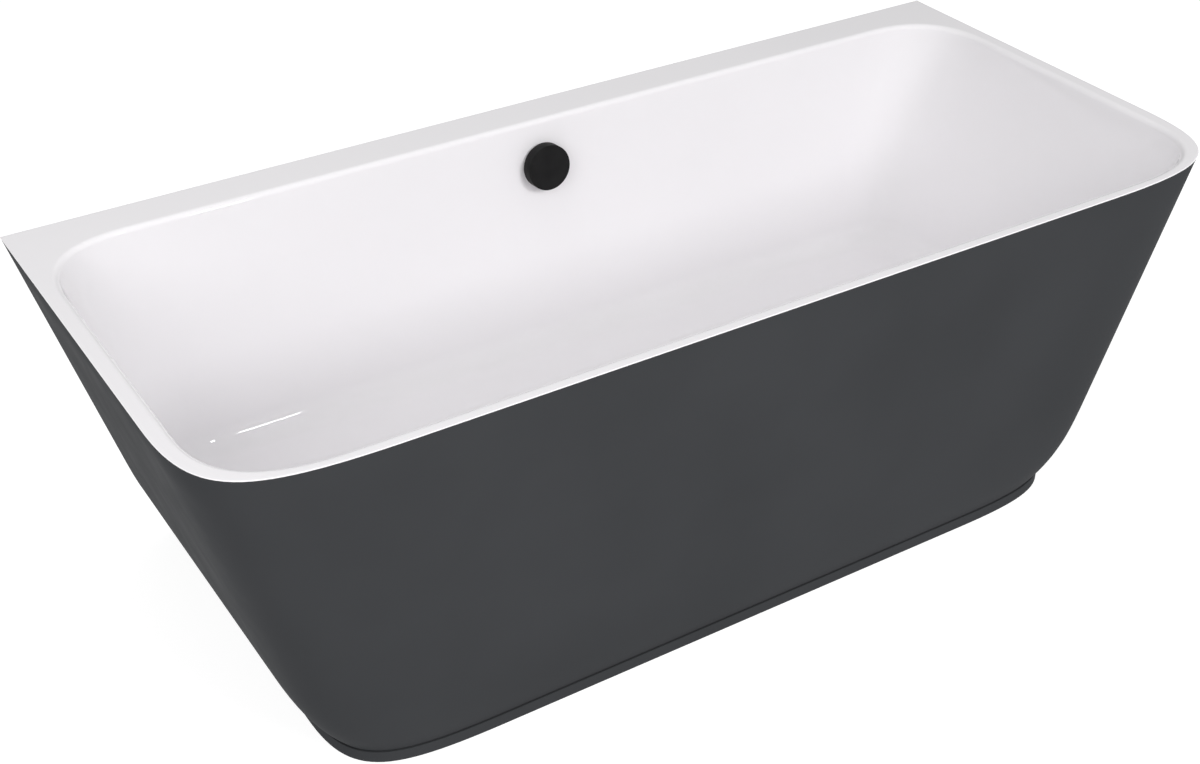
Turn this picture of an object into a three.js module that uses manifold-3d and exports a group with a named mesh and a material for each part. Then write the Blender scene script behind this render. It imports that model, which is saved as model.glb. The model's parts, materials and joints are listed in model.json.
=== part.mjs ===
// Back-to-wall freestanding bathtub: white shell with a flat rim, tapered dark casing on a recessed
// plinth, and the parts that carry it and drain it.
// Millimetres, +Z up. X runs along the length, +Y points at the wall, -Y at the bather's side.
// Origin: centre of the footprint box, on the floor.
import * as THREE from 'three';
import { mergeVertices } from 'three/addons/utils/BufferGeometryUtils.js';
import Module from 'manifold-3d';

const wasm = await Module();
wasm.setup();

// ---------------------------------------------------------------- driving dimensions
const LENGTH = 1800;
const WIDTH = 800;
const HEIGHT = 633;
const GAP = 0.3;                 // between touching pieces
const HALF_X = LENGTH / 2;
const HALF_Y = WIDTH / 2;

// casing
const SIDE_SLOPE = 0.276;        // inward run of the end panels per unit of drop
const FRONT_SLOPE = 0.0838;      // the same for the front panel
const CORNER_TOP = { a: 288, b: 201 };    // front corner reach along X and Y at the rim
const CORNER_BASE = { a: 272, b: 189 };   // and at the floor
const HANDLES = { a: 0.81, b: 0.855 };    // fullness of the outer corner curve
const APRON_T = 5;
const TUCK = 25;                 // how far the lower edge rolls in under the casing
const TUCK_START = 176;
const TUCK_POWER = 3.1;
const PLINTH_H = 20;
const PLINTH_PROUD = 3.2;
const PLINTH_W = 20;

// shell
const RIM_T = 6;
const LIP_T = 1.9;               // edge of the rim that shows; the casing tucks in under it
const REBATE = 7.4;              // step behind the lip that takes the casing's top
const SHELL_T = 6;
const DECK_EDGE = { x: 880, front: 388, rear: 331 };
const ROLL_R = 8;
const COVE_R = 38;
const DEPTH = 413;
const FLOOR_Z = HEIGHT - DEPTH;
const END_LEAN = 0.298;
const WALL_LEAN = Math.tan(THREE.MathUtils.degToRad(6));
const REAR_CORNER = { top: { a: 145, b: 145 }, base: { a: 100, b: 100 } };
const FRONT_CORNER = { top: { a: 180, b: 150 }, base: { a: 130, b: 110 } };
const INNER_HANDLES = { a: 0.68, b: 0.68 };

// sump in the middle of the basin floor, closed by a loose cover
const SUMP = { x: 113, y: 68, r: 28, depth: 26 };
const SUMP_Z = FLOOR_Z - SUMP.depth;
const COVER_T = 4;
const COVER_GAP = 3;             // water runs in round the cover's edge
const COVER_LEG = { x: 88, y: 43, r: 5 };

// waste; its heights count from the floor of the sump
const WASTE_Y = -18;
const WASTE_HOLE_R = 27;
const HOSE_R = 16;
const HOSE_T = 2.5;
const INLET_Z = -48;
const LEVER_Z = -34;
const LEVER_ARM = 22;
const OUTLET_Z = -110;

// overflow control, high on the rear wall
const KNOB_DROP = 80;
const KNOB_R = 40;
const KNOB_PROUD = 24;
const OVERFLOW_HOLE_R = 26;
const SPINDLE_R = 4;
const SPOUT_AXIS = -31;

// support frame
const BOARD = { x: 640, front: -230, rear: 190, t: 16 };
const BOARD_TOP = FLOOR_Z - SHELL_T - GAP;
const RAIL = { x: 480, w: 30, h: 40, t: 2, front: -225, rear: 185 };
const RAIL_TOP = BOARD_TOP - BOARD.t - GAP;
const RAIL_BOTTOM = RAIL_TOP - RAIL.h;
const FOOT_Y = [-190, 150];
const RAIL_SCREW_Y = [-110, 80];
const STUD_R = 5;
const BRACKET_X = 560;

// ---------------------------------------------------------------- materials
function finish(color, roughness, metalness) {
  return new THREE.MeshStandardMaterial({ color, roughness, metalness });
}

const acrylic = () => finish(0xf1f0f2, 0.12, 0);
const anthracite = () => finish(0x46484a, 0.55, 0);
const matBlack = () => finish(0x232425, 0.5, 0);
const plastic = () => finish(0xdadbdc, 0.4, 0);
const darkPlastic = () => finish(0x303234, 0.45, 0);
const rubber = () => finish(0x1c1c1c, 0.85, 0);
const zincSteel = () => finish(0xb4b8bc, 0.38, 1);
const chrome = () => finish(0xe4e6e8, 0.08, 1);
const brass = () => finish(0xc9a45c, 0.3, 1);
const chipboard = () => finish(0xb58f5f, 0.85, 0);

// ---------------------------------------------------------------- solids
function toSolid(geometry) {
  const bare = geometry.clone();
  bare.deleteAttribute('normal');
  bare.deleteAttribute('uv');
  const merged = mergeVertices(bare, 1e-4);
  const vertProperties = new Float32Array(merged.attributes.position.array);
  const triVerts = new Uint32Array(merged.index.array);
  return new wasm.Manifold(new wasm.Mesh({ numProp: 3, vertProperties, triVerts }));
}

function toGeometry(solid) {
  const { vertProperties, triVerts } = solid.getMesh();
  const geometry = new THREE.BufferGeometry();
  geometry.setAttribute('position', new THREE.BufferAttribute(vertProperties, 3));
  geometry.setIndex(new THREE.BufferAttribute(triVerts, 1));
  geometry.computeVertexNormals();
  return geometry;
}

// Upright cylinder from z0 to z1.
function post(radius, z0, z1, sides = 24) {
  const geometry = new THREE.CylinderGeometry(radius, radius, z1 - z0, sides);
  return geometry.rotateX(Math.PI / 2).translate(0, 0, (z0 + z1) / 2);
}

// The same cylinder laid along +X or +Y.
const alongX = (radius, x0, x1, sides) => post(radius, x0, x1, sides).rotateY(Math.PI / 2);
const alongY = (radius, y0, y1, sides) => post(radius, -y1, -y0, sides).rotateX(Math.PI / 2);

function box(x0, x1, y0, y1, z0, z1) {
  const geometry = new THREE.BoxGeometry(x1 - x0, y1 - y0, z1 - z0);
  return geometry.translate((x0 + x1) / 2, (y0 + y1) / 2, (z0 + z1) / 2);
}

// Solid of revolution about Z. The profile is [radius, z] pairs on the axis at both ends, or a ring.
function turned(profile, sides = 24) {
  const points = profile.map(([r, z]) => new THREE.Vector2(r, z));
  if (profile[0][0] > 0) points.push(points[0].clone());
  const geometry = new THREE.LatheGeometry(points, sides);
  return geometry.rotateX(Math.PI / 2);
}

// Upright prism with a rounded rectangle for its section. x and y are half sizes.
function roundedPrism(x, y, radius, z0, z1) {
  const outline = new THREE.Shape();
  outline.absarc(x - radius, y - radius, radius, 0, Math.PI / 2);
  outline.absarc(radius - x, y - radius, radius, Math.PI / 2, Math.PI);
  outline.absarc(radius - x, radius - y, radius, Math.PI, Math.PI * 1.5);
  outline.absarc(x - radius, radius - y, radius, Math.PI * 1.5, Math.PI * 2);
  const prism = new THREE.ExtrudeGeometry(outline, { depth: z1 - z0, bevelEnabled: false, curveSegments: 6 });
  return prism.translate(0, 0, z0);
}

function ring(inner, outer, z0, z1, sides) {
  return turned([[inner, z0], [outer, z0], [outer, z1], [inner, z1]], sides);
}

// Stack of closed outlines with equal point counts, wound anticlockwise from above, lowest first.
function loft(rings) {
  const count = rings[0].length;
  const points = rings.flat();
  const index = [];
  for (let k = 0; k + 1 < rings.length; k++) {
    for (let i = 0; i < count; i++) {
      const a = k * count + i;
      const b = k * count + (i + 1) % count;
      index.push(a, b, b + count, a, b + count, a + count);
    }
  }
  const last = (rings.length - 1) * count;
  for (let i = 0; i < count; i++) {
    const next = (i + 1) % count;
    index.push(points.length, next, i);
    index.push(points.length + 1, last + i, last + next);
  }
  const centre = (outline) => new THREE.Vector3(0, 0, outline[0].z);
  const all = [...points, centre(rings[0]), centre(rings.at(-1))];
  const geometry = new THREE.BufferGeometry().setFromPoints(all);
  geometry.setIndex(index);
  return geometry;
}

// ---------------------------------------------------------------- outlines
// Corner curve from the side panel to the front or rear one. sx and sy give its quarter.
function corner(x, y, reach, handles, sx, sy, steps) {
  const side = new THREE.Vector2(sx * x, sy * (y - reach.b));
  const sideHandle = new THREE.Vector2(sx * x, sy * (y - reach.b * (1 - handles.b)));
  const endHandle = new THREE.Vector2(sx * (x - reach.a * (1 - handles.a)), sy * y);
  const end = new THREE.Vector2(sx * (x - reach.a), sy * y);
  return new THREE.CubicBezierCurve(side, sideHandle, endHandle, end).getPoints(steps);
}

const atHeight = (points, z) => points.map((p) => new THREE.Vector3(p.x, p.y, z));

// Square at the wall, rounded at the front.
function casingOutline(z, x, front, rear, reach) {
  const right = corner(x, front, reach, HANDLES, 1, -1, 13).reverse();
  const left = corner(x, front, reach, HANDLES, -1, -1, 13);
  return atHeight([...right, { x, y: rear }, { x: -x, y: rear }, ...left], z);
}

// Rounded at all four corners.
function basinOutline(z, x, front, rear, frontReach, rearReach) {
  const frontRight = corner(x, front, frontReach, INNER_HANDLES, 1, -1, 9).reverse();
  const rearRight = corner(x, rear, rearReach, INNER_HANDLES, 1, 1, 9);
  const rearLeft = corner(x, rear, rearReach, INNER_HANDLES, -1, 1, 9).reverse();
  const frontLeft = corner(x, front, frontReach, INNER_HANDLES, -1, -1, 9);
  return atHeight([...frontRight, ...rearRight, ...rearLeft, ...frontLeft], z);
}

const mixReach = (low, high, t, inset) => ({
  a: THREE.MathUtils.lerp(low.a, high.a, t) - inset,
  b: THREE.MathUtils.lerp(low.b, high.b, t) - inset,
});

// Casing section at height z, moved in by inset on the three panels.
function casingRing(z, inset, rear = HALF_Y) {
  const drop = HEIGHT - z;
  const x = HALF_X - drop * SIDE_SLOPE - inset;
  const front = HALF_Y - drop * FRONT_SLOPE - inset;
  return casingOutline(z, x, front, rear, mixReach(CORNER_BASE, CORNER_TOP, z / HEIGHT, inset));
}

// Basin section at height z, moved in by inset on all walls.
function basinRing(z, inset) {
  const drop = HEIGHT - z;
  const x = DECK_EDGE.x - ROLL_R - drop * END_LEAN - inset;
  const front = DECK_EDGE.front - ROLL_R - drop * WALL_LEAN - inset;
  const rear = DECK_EDGE.rear - ROLL_R - drop * WALL_LEAN - inset;
  const t = 1 - drop / DEPTH;
  const frontReach = mixReach(FRONT_CORNER.base, FRONT_CORNER.top, t, inset);
  const rearReach = mixReach(REAR_CORNER.base, REAR_CORNER.top, t, inset);
  return basinOutline(z, x, front, rear, frontReach, rearReach);
}

// ---------------------------------------------------------------- shell and casing
// Floor, cove and walls of the basin, grown outwards by skin. The cove keeps one centre.
function basinLevels(skin) {
  const levels = [];
  for (let k = 0; k <= 5; k++) {
    const angle = (k / 5) * Math.PI / 2;
    const z = FLOOR_Z + COVE_R - (COVE_R + skin) * Math.cos(angle);
    levels.push(basinRing(z, COVE_R - (COVE_R + skin) * Math.sin(angle)));
  }
  levels.push(basinRing(FLOOR_Z + DEPTH / 2, -skin));
  return levels;
}

function basinVoid() {
  const levels = basinLevels(0);
  for (let k = 0; k <= 4; k++) {
    const angle = (k / 4) * Math.PI / 2;
    const out = ROLL_R * (1 - Math.cos(angle));
    levels.push(basinRing(HEIGHT - ROLL_R * (1 - Math.sin(angle)), -out));
  }
  const rim = levels.at(-1);
  levels.push(rim.map((p) => p.clone().setZ(HEIGHT + 10)));
  return toSolid(loft(levels));
}

// Flat rim, square at the wall. Its underside steps up behind a thin lip at the sides and front.
function rimPlate() {
  const edge = (z, inset, rearInset = inset) => {
    const reach = { a: CORNER_TOP.a - inset, b: CORNER_TOP.b - inset };
    return casingOutline(z, HALF_X - inset, HALF_Y - inset, HALF_Y - rearInset, reach);
  };
  const lip = HEIGHT - LIP_T;
  const step = [edge(HEIGHT - RIM_T, REBATE, 0), edge(lip, REBATE, 0)];
  const side = [edge(lip, 0), edge(HEIGHT - 0.9, 0), edge(HEIGHT - 0.3, 0.3), edge(HEIGHT, 1)];
  return toSolid(loft([...step, ...side]));
}

// Hollow for the waste, grown outwards by skin.
function sump(skin, z0, z1) {
  const prism = roundedPrism(SUMP.x + skin, SUMP.y + skin, SUMP.r + skin, z0, z1);
  return toSolid(prism.translate(0, WASTE_Y, 0));
}

function tubShell() {
  const basin = toSolid(loft([...basinLevels(SHELL_T), basinRing(HEIGHT - RIM_T + 1, -SHELL_T)]));
  const outside = basin.add(rimPlate()).add(sump(SHELL_T, SUMP_Z - SHELL_T, FLOOR_Z - 1));
  const wasteHole = toSolid(post(WASTE_HOLE_R, SUMP_Z - 20, SUMP_Z + 10, 32).translate(0, WASTE_Y, 0));
  const overflowHole = toSolid(post(OVERFLOW_HOLE_R, -20, 20, 32).applyMatrix4(overflowFrame()));
  const body = outside.subtract(basinVoid()).subtract(sump(0, SUMP_Z, FLOOR_Z + 10));
  return toGeometry(body.subtract(wasteHole).subtract(overflowHole));
}

// Inward roll of the casing's lower edge.
function tuckAt(z) {
  const t = Math.max(0, (TUCK_START - z) / (TUCK_START - PLINTH_H));
  return TUCK * t ** TUCK_POWER;
}

function apron() {
  const top = HEIGHT - LIP_T - GAP;
  const bottom = PLINTH_H + GAP;
  const heights = [bottom, 31, 44, 60, 80, 108, TUCK_START, top];
  const skin = heights.map((z) => casingRing(z, tuckAt(z)));
  const inner = heights.map((z) => casingRing(z, tuckAt(z) + APRON_T, HALF_Y + 20));
  const below = inner[0].map((p) => p.clone().setZ(bottom - 5));
  const above = inner.at(-1).map((p) => p.clone().setZ(top + 5));
  return toGeometry(toSolid(loft(skin)).subtract(toSolid(loft([below, ...inner, above]))));
}

function plinth() {
  const inset = TUCK - PLINTH_PROUD;
  const outline = (z, extra, rear) => casingRing(PLINTH_H, inset + extra, rear).map((p) => p.setZ(z));
  const outside = loft([outline(0, 0), outline(PLINTH_H - 1, 0), outline(PLINTH_H, 1)]);
  const inside = loft([outline(-5, PLINTH_W, HALF_Y + 20), outline(PLINTH_H + 5, PLINTH_W, HALF_Y + 20)]);
  return toGeometry(toSolid(outside).subtract(toSolid(inside)));
}

// ---------------------------------------------------------------- support frame
function baseBoard() {
  const bottom = BOARD_TOP - BOARD.t;
  let board = toSolid(box(-BOARD.x, BOARD.x, BOARD.front, BOARD.rear, bottom, BOARD_TOP));
  board = board.subtract(sump(SHELL_T + 4, bottom - 1, BOARD_TOP + 1));
  for (const x of [-RAIL.x, RAIL.x]) {
    for (const y of RAIL_SCREW_Y) {
      board = board.subtract(toSolid(post(3 + GAP, bottom - 1, bottom + 12, 12).translate(x, y, 0)));
    }
  }
  return toGeometry(board);
}

// Box tube across the tub, drilled for its screws and for the foot studs.
function rail() {
  const half = RAIL.w / 2;
  const inner = half - RAIL.t;
  let tube = toSolid(box(-half, half, RAIL.front, RAIL.rear, RAIL_BOTTOM, RAIL_TOP));
  const z0 = RAIL_BOTTOM + RAIL.t;
  const z1 = RAIL_TOP - RAIL.t;
  tube = tube.subtract(toSolid(box(-inner, inner, RAIL.front - 1, RAIL.rear + 1, z0, z1)));
  for (const y of RAIL_SCREW_Y) {
    tube = tube.subtract(toSolid(post(3 + GAP, RAIL_BOTTOM - 1, RAIL_TOP + 1, 12).translate(0, y, 0)));
  }
  for (const y of FOOT_Y) {
    tube = tube.subtract(toSolid(post(STUD_R + 1, RAIL_BOTTOM - 1, z0 + 1, 16).translate(0, y, 0)));
  }
  return toGeometry(tube);
}

// Pan-head screw driven up through both walls of the rail into the board.
function railScrew() {
  const head = RAIL_BOTTOM - GAP;
  return turned([[0, head - 4], [4.5, head - 4], [6, head - 2], [6, head], [3, head], [3, RAIL_TOP + 10],
    [0, RAIL_TOP + 12]], 8);
}

const footStud = () => turned([[0, 4 + GAP], [STUD_R - 1, 4 + GAP], [STUD_R, 5.5], [STUD_R, 183],
  [STUD_R - 1, 184], [0, 184]], 12);

const footPad = () => turned([[0, 0], [24, 0], [25, 1.5], [23, 9], [10, 14], [STUD_R + GAP, 14],
  [STUD_R + GAP, 4], [0, 4]], 16);

function hexNut(z0, z1) {
  const hex = toSolid(post(9.8, z0, z1, 6));
  return toGeometry(hex.subtract(toSolid(post(STUD_R + GAP, z0 - 1, z1 + 1, 16))));
}

// Angle bracket screwed to the wall, with a shelf that carries the rear rim.
function wallBracket() {
  const shelf = HEIGHT - RIM_T - 2.5;
  const foot = shelf - 85;
  const points = [[397, foot], [400, foot], [400, shelf], [345, shelf], [345, shelf - 3], [397, shelf - 3]];
  const outline = new THREE.Shape(points.map(([y, z]) => new THREE.Vector2(y, z)));
  const plate = new THREE.ExtrudeGeometry(outline, { depth: 60, bevelEnabled: false });
  // the outline's plane becomes Y-Z and the depth runs along X
  plate.applyMatrix4(new THREE.Matrix4().makeBasis(
    new THREE.Vector3(0, 1, 0), new THREE.Vector3(0, 0, 1), new THREE.Vector3(1, 0, 0)));
  plate.translate(-30, 0, 0);
  let bracket = toSolid(plate);
  for (const x of [-16, 16]) {
    bracket = bracket.subtract(toSolid(alongY(4.5, 390, 410, 16).translate(x, 0, shelf - 55)));
  }
  return toGeometry(bracket);
}

const rimPad = () => box(-26, 26, 350, 394, HEIGHT - RIM_T - 2.2, HEIGHT - RIM_T - GAP);

// ---------------------------------------------------------------- overflow control
// Frame on the rear wall's inner face: +Z looks into the basin, +X along the tub, +Y up the wall.
function overflowFrame() {
  const lean = Math.atan(WALL_LEAN);
  const rear = DECK_EDGE.rear - ROLL_R - KNOB_DROP * WALL_LEAN;
  const turn = new THREE.Matrix4().makeRotationX(Math.PI / 2 - lean);
  return turn.setPosition(0, rear, HEIGHT - KNOB_DROP);
}

// Hollow cap with a socket for the spindle.
const knob = () => turned([[0, 17], [SPINDLE_R + GAP, 17], [SPINDLE_R + GAP, 8], [9, 8], [9, 20],
  [KNOB_R - 3.5, 20], [KNOB_R - 3.5, 3.5], [KNOB_R, 3.5], [KNOB_R, KNOB_PROUD - 1], [KNOB_R - 1, KNOB_PROUD],
  [0, KNOB_PROUD]], 48);

const spindle = () => post(SPINDLE_R, -54, 17 - GAP, 16);

// Disc with a hole near its edge for the nipple of the pull wire.
function crank() {
  const disc = toSolid(ring(SPINDLE_R + GAP, 17, -33, -29, 24));
  return toGeometry(disc.subtract(toSolid(post(1.8, -40, -20, 10).translate(12, 0, 0))));
}

// Threaded collar that clamps the shell, with a three-spoke bearing for the spindle.
function overflowCollar() {
  const profile = [[20, -14], [24.5, -14], [24.5, GAP], [33, GAP], [33, 2.2], [32, 3.1], [20, 3.1]];
  let collar = toSolid(turned(profile, 24));
  for (let k = 0; k < 3; k++) {
    const spoke = toSolid(box(0, 21.5, -2, 2, -13, -9).rotateZ(Math.PI / 2 + k * Math.PI * 2 / 3));
    collar = collar.add(spoke);
  }
  collar = collar.add(toSolid(post(8, -14, -6, 12)));
  return toGeometry(collar.subtract(toSolid(post(SPINDLE_R + GAP, -20, 10, 20))));
}

const overflowSeal = () => ring(25, 36, -SHELL_T - 3 - GAP, -SHELL_T - GAP, 24);

// Round box behind the wall with a spout pointing down along the wall.
function overflowBody() {
  const front = -SHELL_T - 3 - 2 * GAP;
  const can = toSolid(turned([[0, -52], [38, -52], [38, front], [0, front]], 24));
  const spout = toSolid(alongY(HOSE_R + 3, -64, 0, 24).translate(0, 0, SPOUT_AXIS));
  const cavity = toSolid(post(34.5, -60, front - 4, 24));
  const mouth = toSolid(post(24.5 + GAP, front - 10, 0, 24));
  const bore = toSolid(alongY(HOSE_R + GAP, -70, -10, 24).translate(0, 0, SPOUT_AXIS));
  const wire = toSolid(alongY(1.8, -60, -10, 8).translate(26, 0, SPOUT_AXIS));
  return toGeometry(can.add(spout).subtract(cavity).subtract(mouth).subtract(bore).subtract(wire));
}

const overflowCover = () => ring(SPINDLE_R + GAP, 38, -55.3, -52 - GAP, 24);

// Sleeve where the cable's sheath meets the round box.
function upperGland() {
  const sleeve = toSolid(alongY(5, -46, -20, 16).translate(26, 0, SPOUT_AXIS));
  const bore = toSolid(alongY(1.8, -60, 0, 8).translate(26, 0, SPOUT_AXIS));
  return toGeometry(sleeve.subtract(bore).subtract(toSolid(post(38 + GAP, -60, 0, 32))));
}

// ---------------------------------------------------------------- hose and cable
const circle = (radius) => new THREE.Shape().absarc(0, 0, radius, 0, Math.PI * 2);

function overflowHose() {
  const down = new THREE.Vector3(0, -Math.sin(Math.atan(WALL_LEAN)), -Math.cos(Math.atan(WALL_LEAN)));
  const start = new THREE.Vector3(0, -50, SPOUT_AXIS).applyMatrix4(overflowFrame());
  const bendTop = start.clone().addScaledVector(down, 215);
  const inlet = SUMP_Z + INLET_Z;
  const bendEnd = new THREE.Vector3(0, WASTE_Y + 200, inlet);
  const end = new THREE.Vector3(0, WASTE_Y + 54, inlet);
  const upperHandle = bendTop.clone().addScaledVector(down, 100);
  const lowerHandle = bendEnd.clone().setY(bendEnd.y + 100);
  const path = new THREE.CurvePath();
  path.add(new THREE.LineCurve3(start, bendTop));
  path.add(new THREE.CubicBezierCurve3(bendTop, upperHandle, lowerHandle, bendEnd));
  path.add(new THREE.LineCurve3(bendEnd, end));
  const wall = circle(HOSE_R);
  wall.holes.push(circle(HOSE_R - HOSE_T));
  return new THREE.ExtrudeGeometry(wall, { steps: 20, curveSegments: 8, extrudePath: path });
}

// Sheath of the pull cable, from the upper gland down behind the shell and in from the right.
function cableSheath() {
  const start = new THREE.Vector3(26, -46 - GAP, SPOUT_AXIS).applyMatrix4(overflowFrame());
  const inlet = SUMP_Z + INLET_Z;
  const path = new THREE.CatmullRomCurve3([
    start,
    start.clone().add(new THREE.Vector3(0, -2.1, -20)),
    new THREE.Vector3(44, 326, 360),
    new THREE.Vector3(58, 312, 240),
    new THREE.Vector3(84, 262, 168),
    new THREE.Vector3(122, 150, inlet),
    new THREE.Vector3(122, 50, inlet),
    new THREE.Vector3(80, WASTE_Y, inlet),
    new THREE.Vector3(50 + GAP, WASTE_Y, inlet),
  ]);
  const section = new THREE.Shape().absarc(0, 0, 3, 0, Math.PI * 2);
  return new THREE.ExtrudeGeometry(section, { steps: 60, curveSegments: 4, extrudePath: path });
}

// ---------------------------------------------------------------- waste
// Plate level with the basin floor, on four short legs.
function wasteCover() {
  const x = SUMP.x - COVER_GAP;
  const y = SUMP.y - COVER_GAP;
  let cover = toSolid(roundedPrism(x, y, SUMP.r - COVER_GAP, SUMP.depth - COVER_T, SUMP.depth));
  for (const side of [-1, 1]) {
    for (const end of [-1, 1]) {
      const leg = post(COVER_LEG.r, GAP, SUMP.depth - 1, 12);
      cover = cover.add(toSolid(leg.translate(side * COVER_LEG.x, end * COVER_LEG.y, 0)));
    }
  }
  return toGeometry(cover);
}

// Ring on the sump's floor with a tail through the hole and a cross that guides the plug.
function wasteFlange() {
  let flange = toSolid(turned([[23, -20], [26, -20], [26, GAP], [35, GAP], [34, GAP + 2], [31, GAP + 2.5],
    [23, GAP + 2.5]], 24));
  for (let k = 0; k < 4; k++) {
    flange = flange.add(toSolid(box(0, 24, -1.5, 1.5, -19, -14).rotateZ(k * Math.PI / 2)));
  }
  flange = flange.add(toSolid(post(7, -20, -12, 12)));
  return toGeometry(flange.subtract(toSolid(post(4 + GAP, -30, -5, 20))));
}

const wasteSeal = () => ring(28, 43, -SHELL_T - 3.6, -SHELL_T - GAP, 24);

// Chamber under the floor: overflow inlet at the rear, dip tube below.
function wasteBody() {
  const top = -SHELL_T - 3.9;
  const shape = turned([[0, -142], [20, -142], [20, -74], [33, -74], [33, top - 6], [44, top - 6], [44, top],
    [0, top]], 24);
  const inlet = toSolid(alongY(HOSE_R + 3, 0, 70, 24).translate(0, 0, INLET_Z));
  const well = [[0, -150], [17.5, -150], [17.5, -70], [29.4, -70], [29.4, top + 5], [0, top + 5]];
  const bore = toSolid(alongY(HOSE_R + GAP, 10, 80, 24).translate(0, 0, INLET_Z));
  const pinHole = toSolid(alongY(2 + GAP, -40, 40, 12).translate(LEVER_ARM, 0, LEVER_Z));
  const wire = toSolid(alongX(1.8, 20, 40, 8).translate(0, 0, INLET_Z));
  const body = toSolid(shape).add(inlet).subtract(toSolid(turned(well, 24))).subtract(bore);
  return toGeometry(body.subtract(pinHole).subtract(wire));
}

function lowerGland() {
  const sleeve = toSolid(alongX(5, 25, 50, 16).translate(0, 0, INLET_Z));
  const bore = toSolid(alongX(1.8, 20, 60, 8).translate(0, 0, INLET_Z));
  return toGeometry(sleeve.subtract(bore).subtract(toSolid(post(33 + GAP, -70, -20, 32))));
}

// Rocker that lifts the plug's stem: pivot eye at the origin, arm along -X, wire arm down.
function liftLever() {
  const outline = new THREE.Shape();
  outline.moveTo(-LEVER_ARM, 3);
  outline.lineTo(-4, 3);
  outline.absarc(0, 0, 5, Math.atan2(3, -4), 0, true);
  outline.lineTo(2.5, -12);
  outline.absarc(0, -12, 2.5, 0, -Math.PI, true);
  outline.lineTo(-3.5, -3);
  outline.lineTo(-LEVER_ARM, -3);
  outline.absarc(-LEVER_ARM, 0, 3, -Math.PI / 2, Math.PI / 2, true);
  outline.holes.push(new THREE.Path().absarc(0, 0, 2 + GAP, 0, Math.PI * 2));
  const plate = new THREE.ExtrudeGeometry(outline, { depth: 6, bevelEnabled: false, curveSegments: 6 });
  return plate.translate(0, 0, -3).rotateX(Math.PI / 2);
}

const leverPin = () => alongY(2, -22, 22, 12);

// Domed plug: skirt with a seal groove, and the stem that the rocker lifts.
function plug() {
  const seat = 2.5 + 2 * GAP;
  const foot = LEVER_Z + 3 + GAP;
  return turned([[0, foot], [4, foot], [4, -8], [20, -7], [20, -4.5], [18.6, -4], [18.6, -0.5], [20, 0],
    [20, seat], [29.5, seat], [29.5, seat + 1.5], [26, seat + 4], [16, seat + 6], [0, seat + 7]], 24);
}

const plugSeal = () => turned([[18.9, -3.6], [21.6, -3.6], [22.4, -2.3], [21.6, -0.9], [18.9, -0.9]], 20);

// Bottle trap: cup with a side outlet, closed above by its nut.
function trapCup() {
  const cup = toSolid(post(40, -175, -82, 24));
  const stub = toSolid(alongY(23, 0, 80, 24).translate(0, 0, OUTLET_Z));
  const inside = toSolid(post(37, -172, -70, 24));
  const bore = toSolid(alongY(20 + GAP, 10, 90, 24).translate(0, 0, OUTLET_Z));
  return toGeometry(cup.add(stub).subtract(inside).subtract(bore));
}

function trapNut() {
  const z0 = -82 + GAP;
  let nut = toSolid(ring(20 + GAP, 40, z0, z0 + 7, 24));
  for (let k = 0; k < 6; k++) {
    nut = nut.add(toSolid(box(36, 43, -3, 3, z0, z0 + 7).rotateZ(k * Math.PI / 3)));
  }
  return toGeometry(nut);
}

// Runs from the trap to the wall.
function outletPipe() {
  const end = HALF_Y - WASTE_Y;
  const pipe = toSolid(alongY(20, 50, end, 24));
  return toGeometry(pipe.subtract(toSolid(alongY(17, 49, end + 1, 24))));
}

// ---------------------------------------------------------------- scene graph
const tub = new THREE.Group();

function place(parent, name, geometry, material, x = 0, y = 0, z = 0) {
  const mesh = new THREE.Mesh(geometry, material);
  mesh.name = name;
  mesh.position.set(x, y, z);
  parent.add(mesh);
  return mesh;
}

function addCasing() {
  place(tub, 'tub_shell', tubShell(), acrylic());
  place(tub, 'apron', apron(), anthracite());
  place(tub, 'plinth', plinth(), anthracite());
}

function addFoot(side, number, x, y) {
  const name = `foot_${side}_${number}`;
  const foot = new THREE.Group();
  foot.position.set(x, y, 0);
  tub.add(foot);
  place(foot, `${name}_stud`, footStud(), zincSteel());
  place(foot, `${name}_pad`, footPad(), rubber());
  const seat = RAIL_BOTTOM + RAIL.t + GAP;
  place(foot, `${name}_rail_nut`, hexNut(seat, seat + 10), zincSteel());
  place(foot, `${name}_lock_nut`, hexNut(RAIL_BOTTOM - GAP - 7, RAIL_BOTTOM - GAP), zincSteel());
}

function addSupport() {
  place(tub, 'base_board', baseBoard(), chipboard());
  for (const [side, sign] of [['left', -1], ['right', 1]]) {
    place(tub, `rail_${side}`, rail(), zincSteel(), sign * RAIL.x);
    RAIL_SCREW_Y.forEach((y, k) => {
      place(tub, `rail_screw_${side}_${k + 1}`, railScrew(), zincSteel(), sign * RAIL.x, y);
    });
    FOOT_Y.forEach((y, k) => addFoot(side, k + 1, sign * RAIL.x, y));
    place(tub, `wall_bracket_${side}`, wallBracket(), zincSteel(), sign * BRACKET_X);
    place(tub, `rim_pad_${side}`, rimPad(), rubber(), sign * BRACKET_X);
  }
}

function addOverflow() {
  const group = new THREE.Group();
  group.applyMatrix4(overflowFrame());
  tub.add(group);
  place(group, 'overflow_knob', knob(), matBlack());
  place(group, 'overflow_spindle', spindle(), brass());
  place(group, 'overflow_crank', crank(), darkPlastic());
  place(group, 'overflow_collar', overflowCollar(), darkPlastic());
  place(group, 'overflow_seal', overflowSeal(), rubber());
  place(group, 'overflow_body', overflowBody(), plastic());
  place(group, 'overflow_cover', overflowCover(), plastic());
  place(group, 'cable_gland_upper', upperGland(), brass());
  place(tub, 'overflow_hose', overflowHose(), plastic());
  place(tub, 'cable_sheath', cableSheath(), darkPlastic());
}

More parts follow.
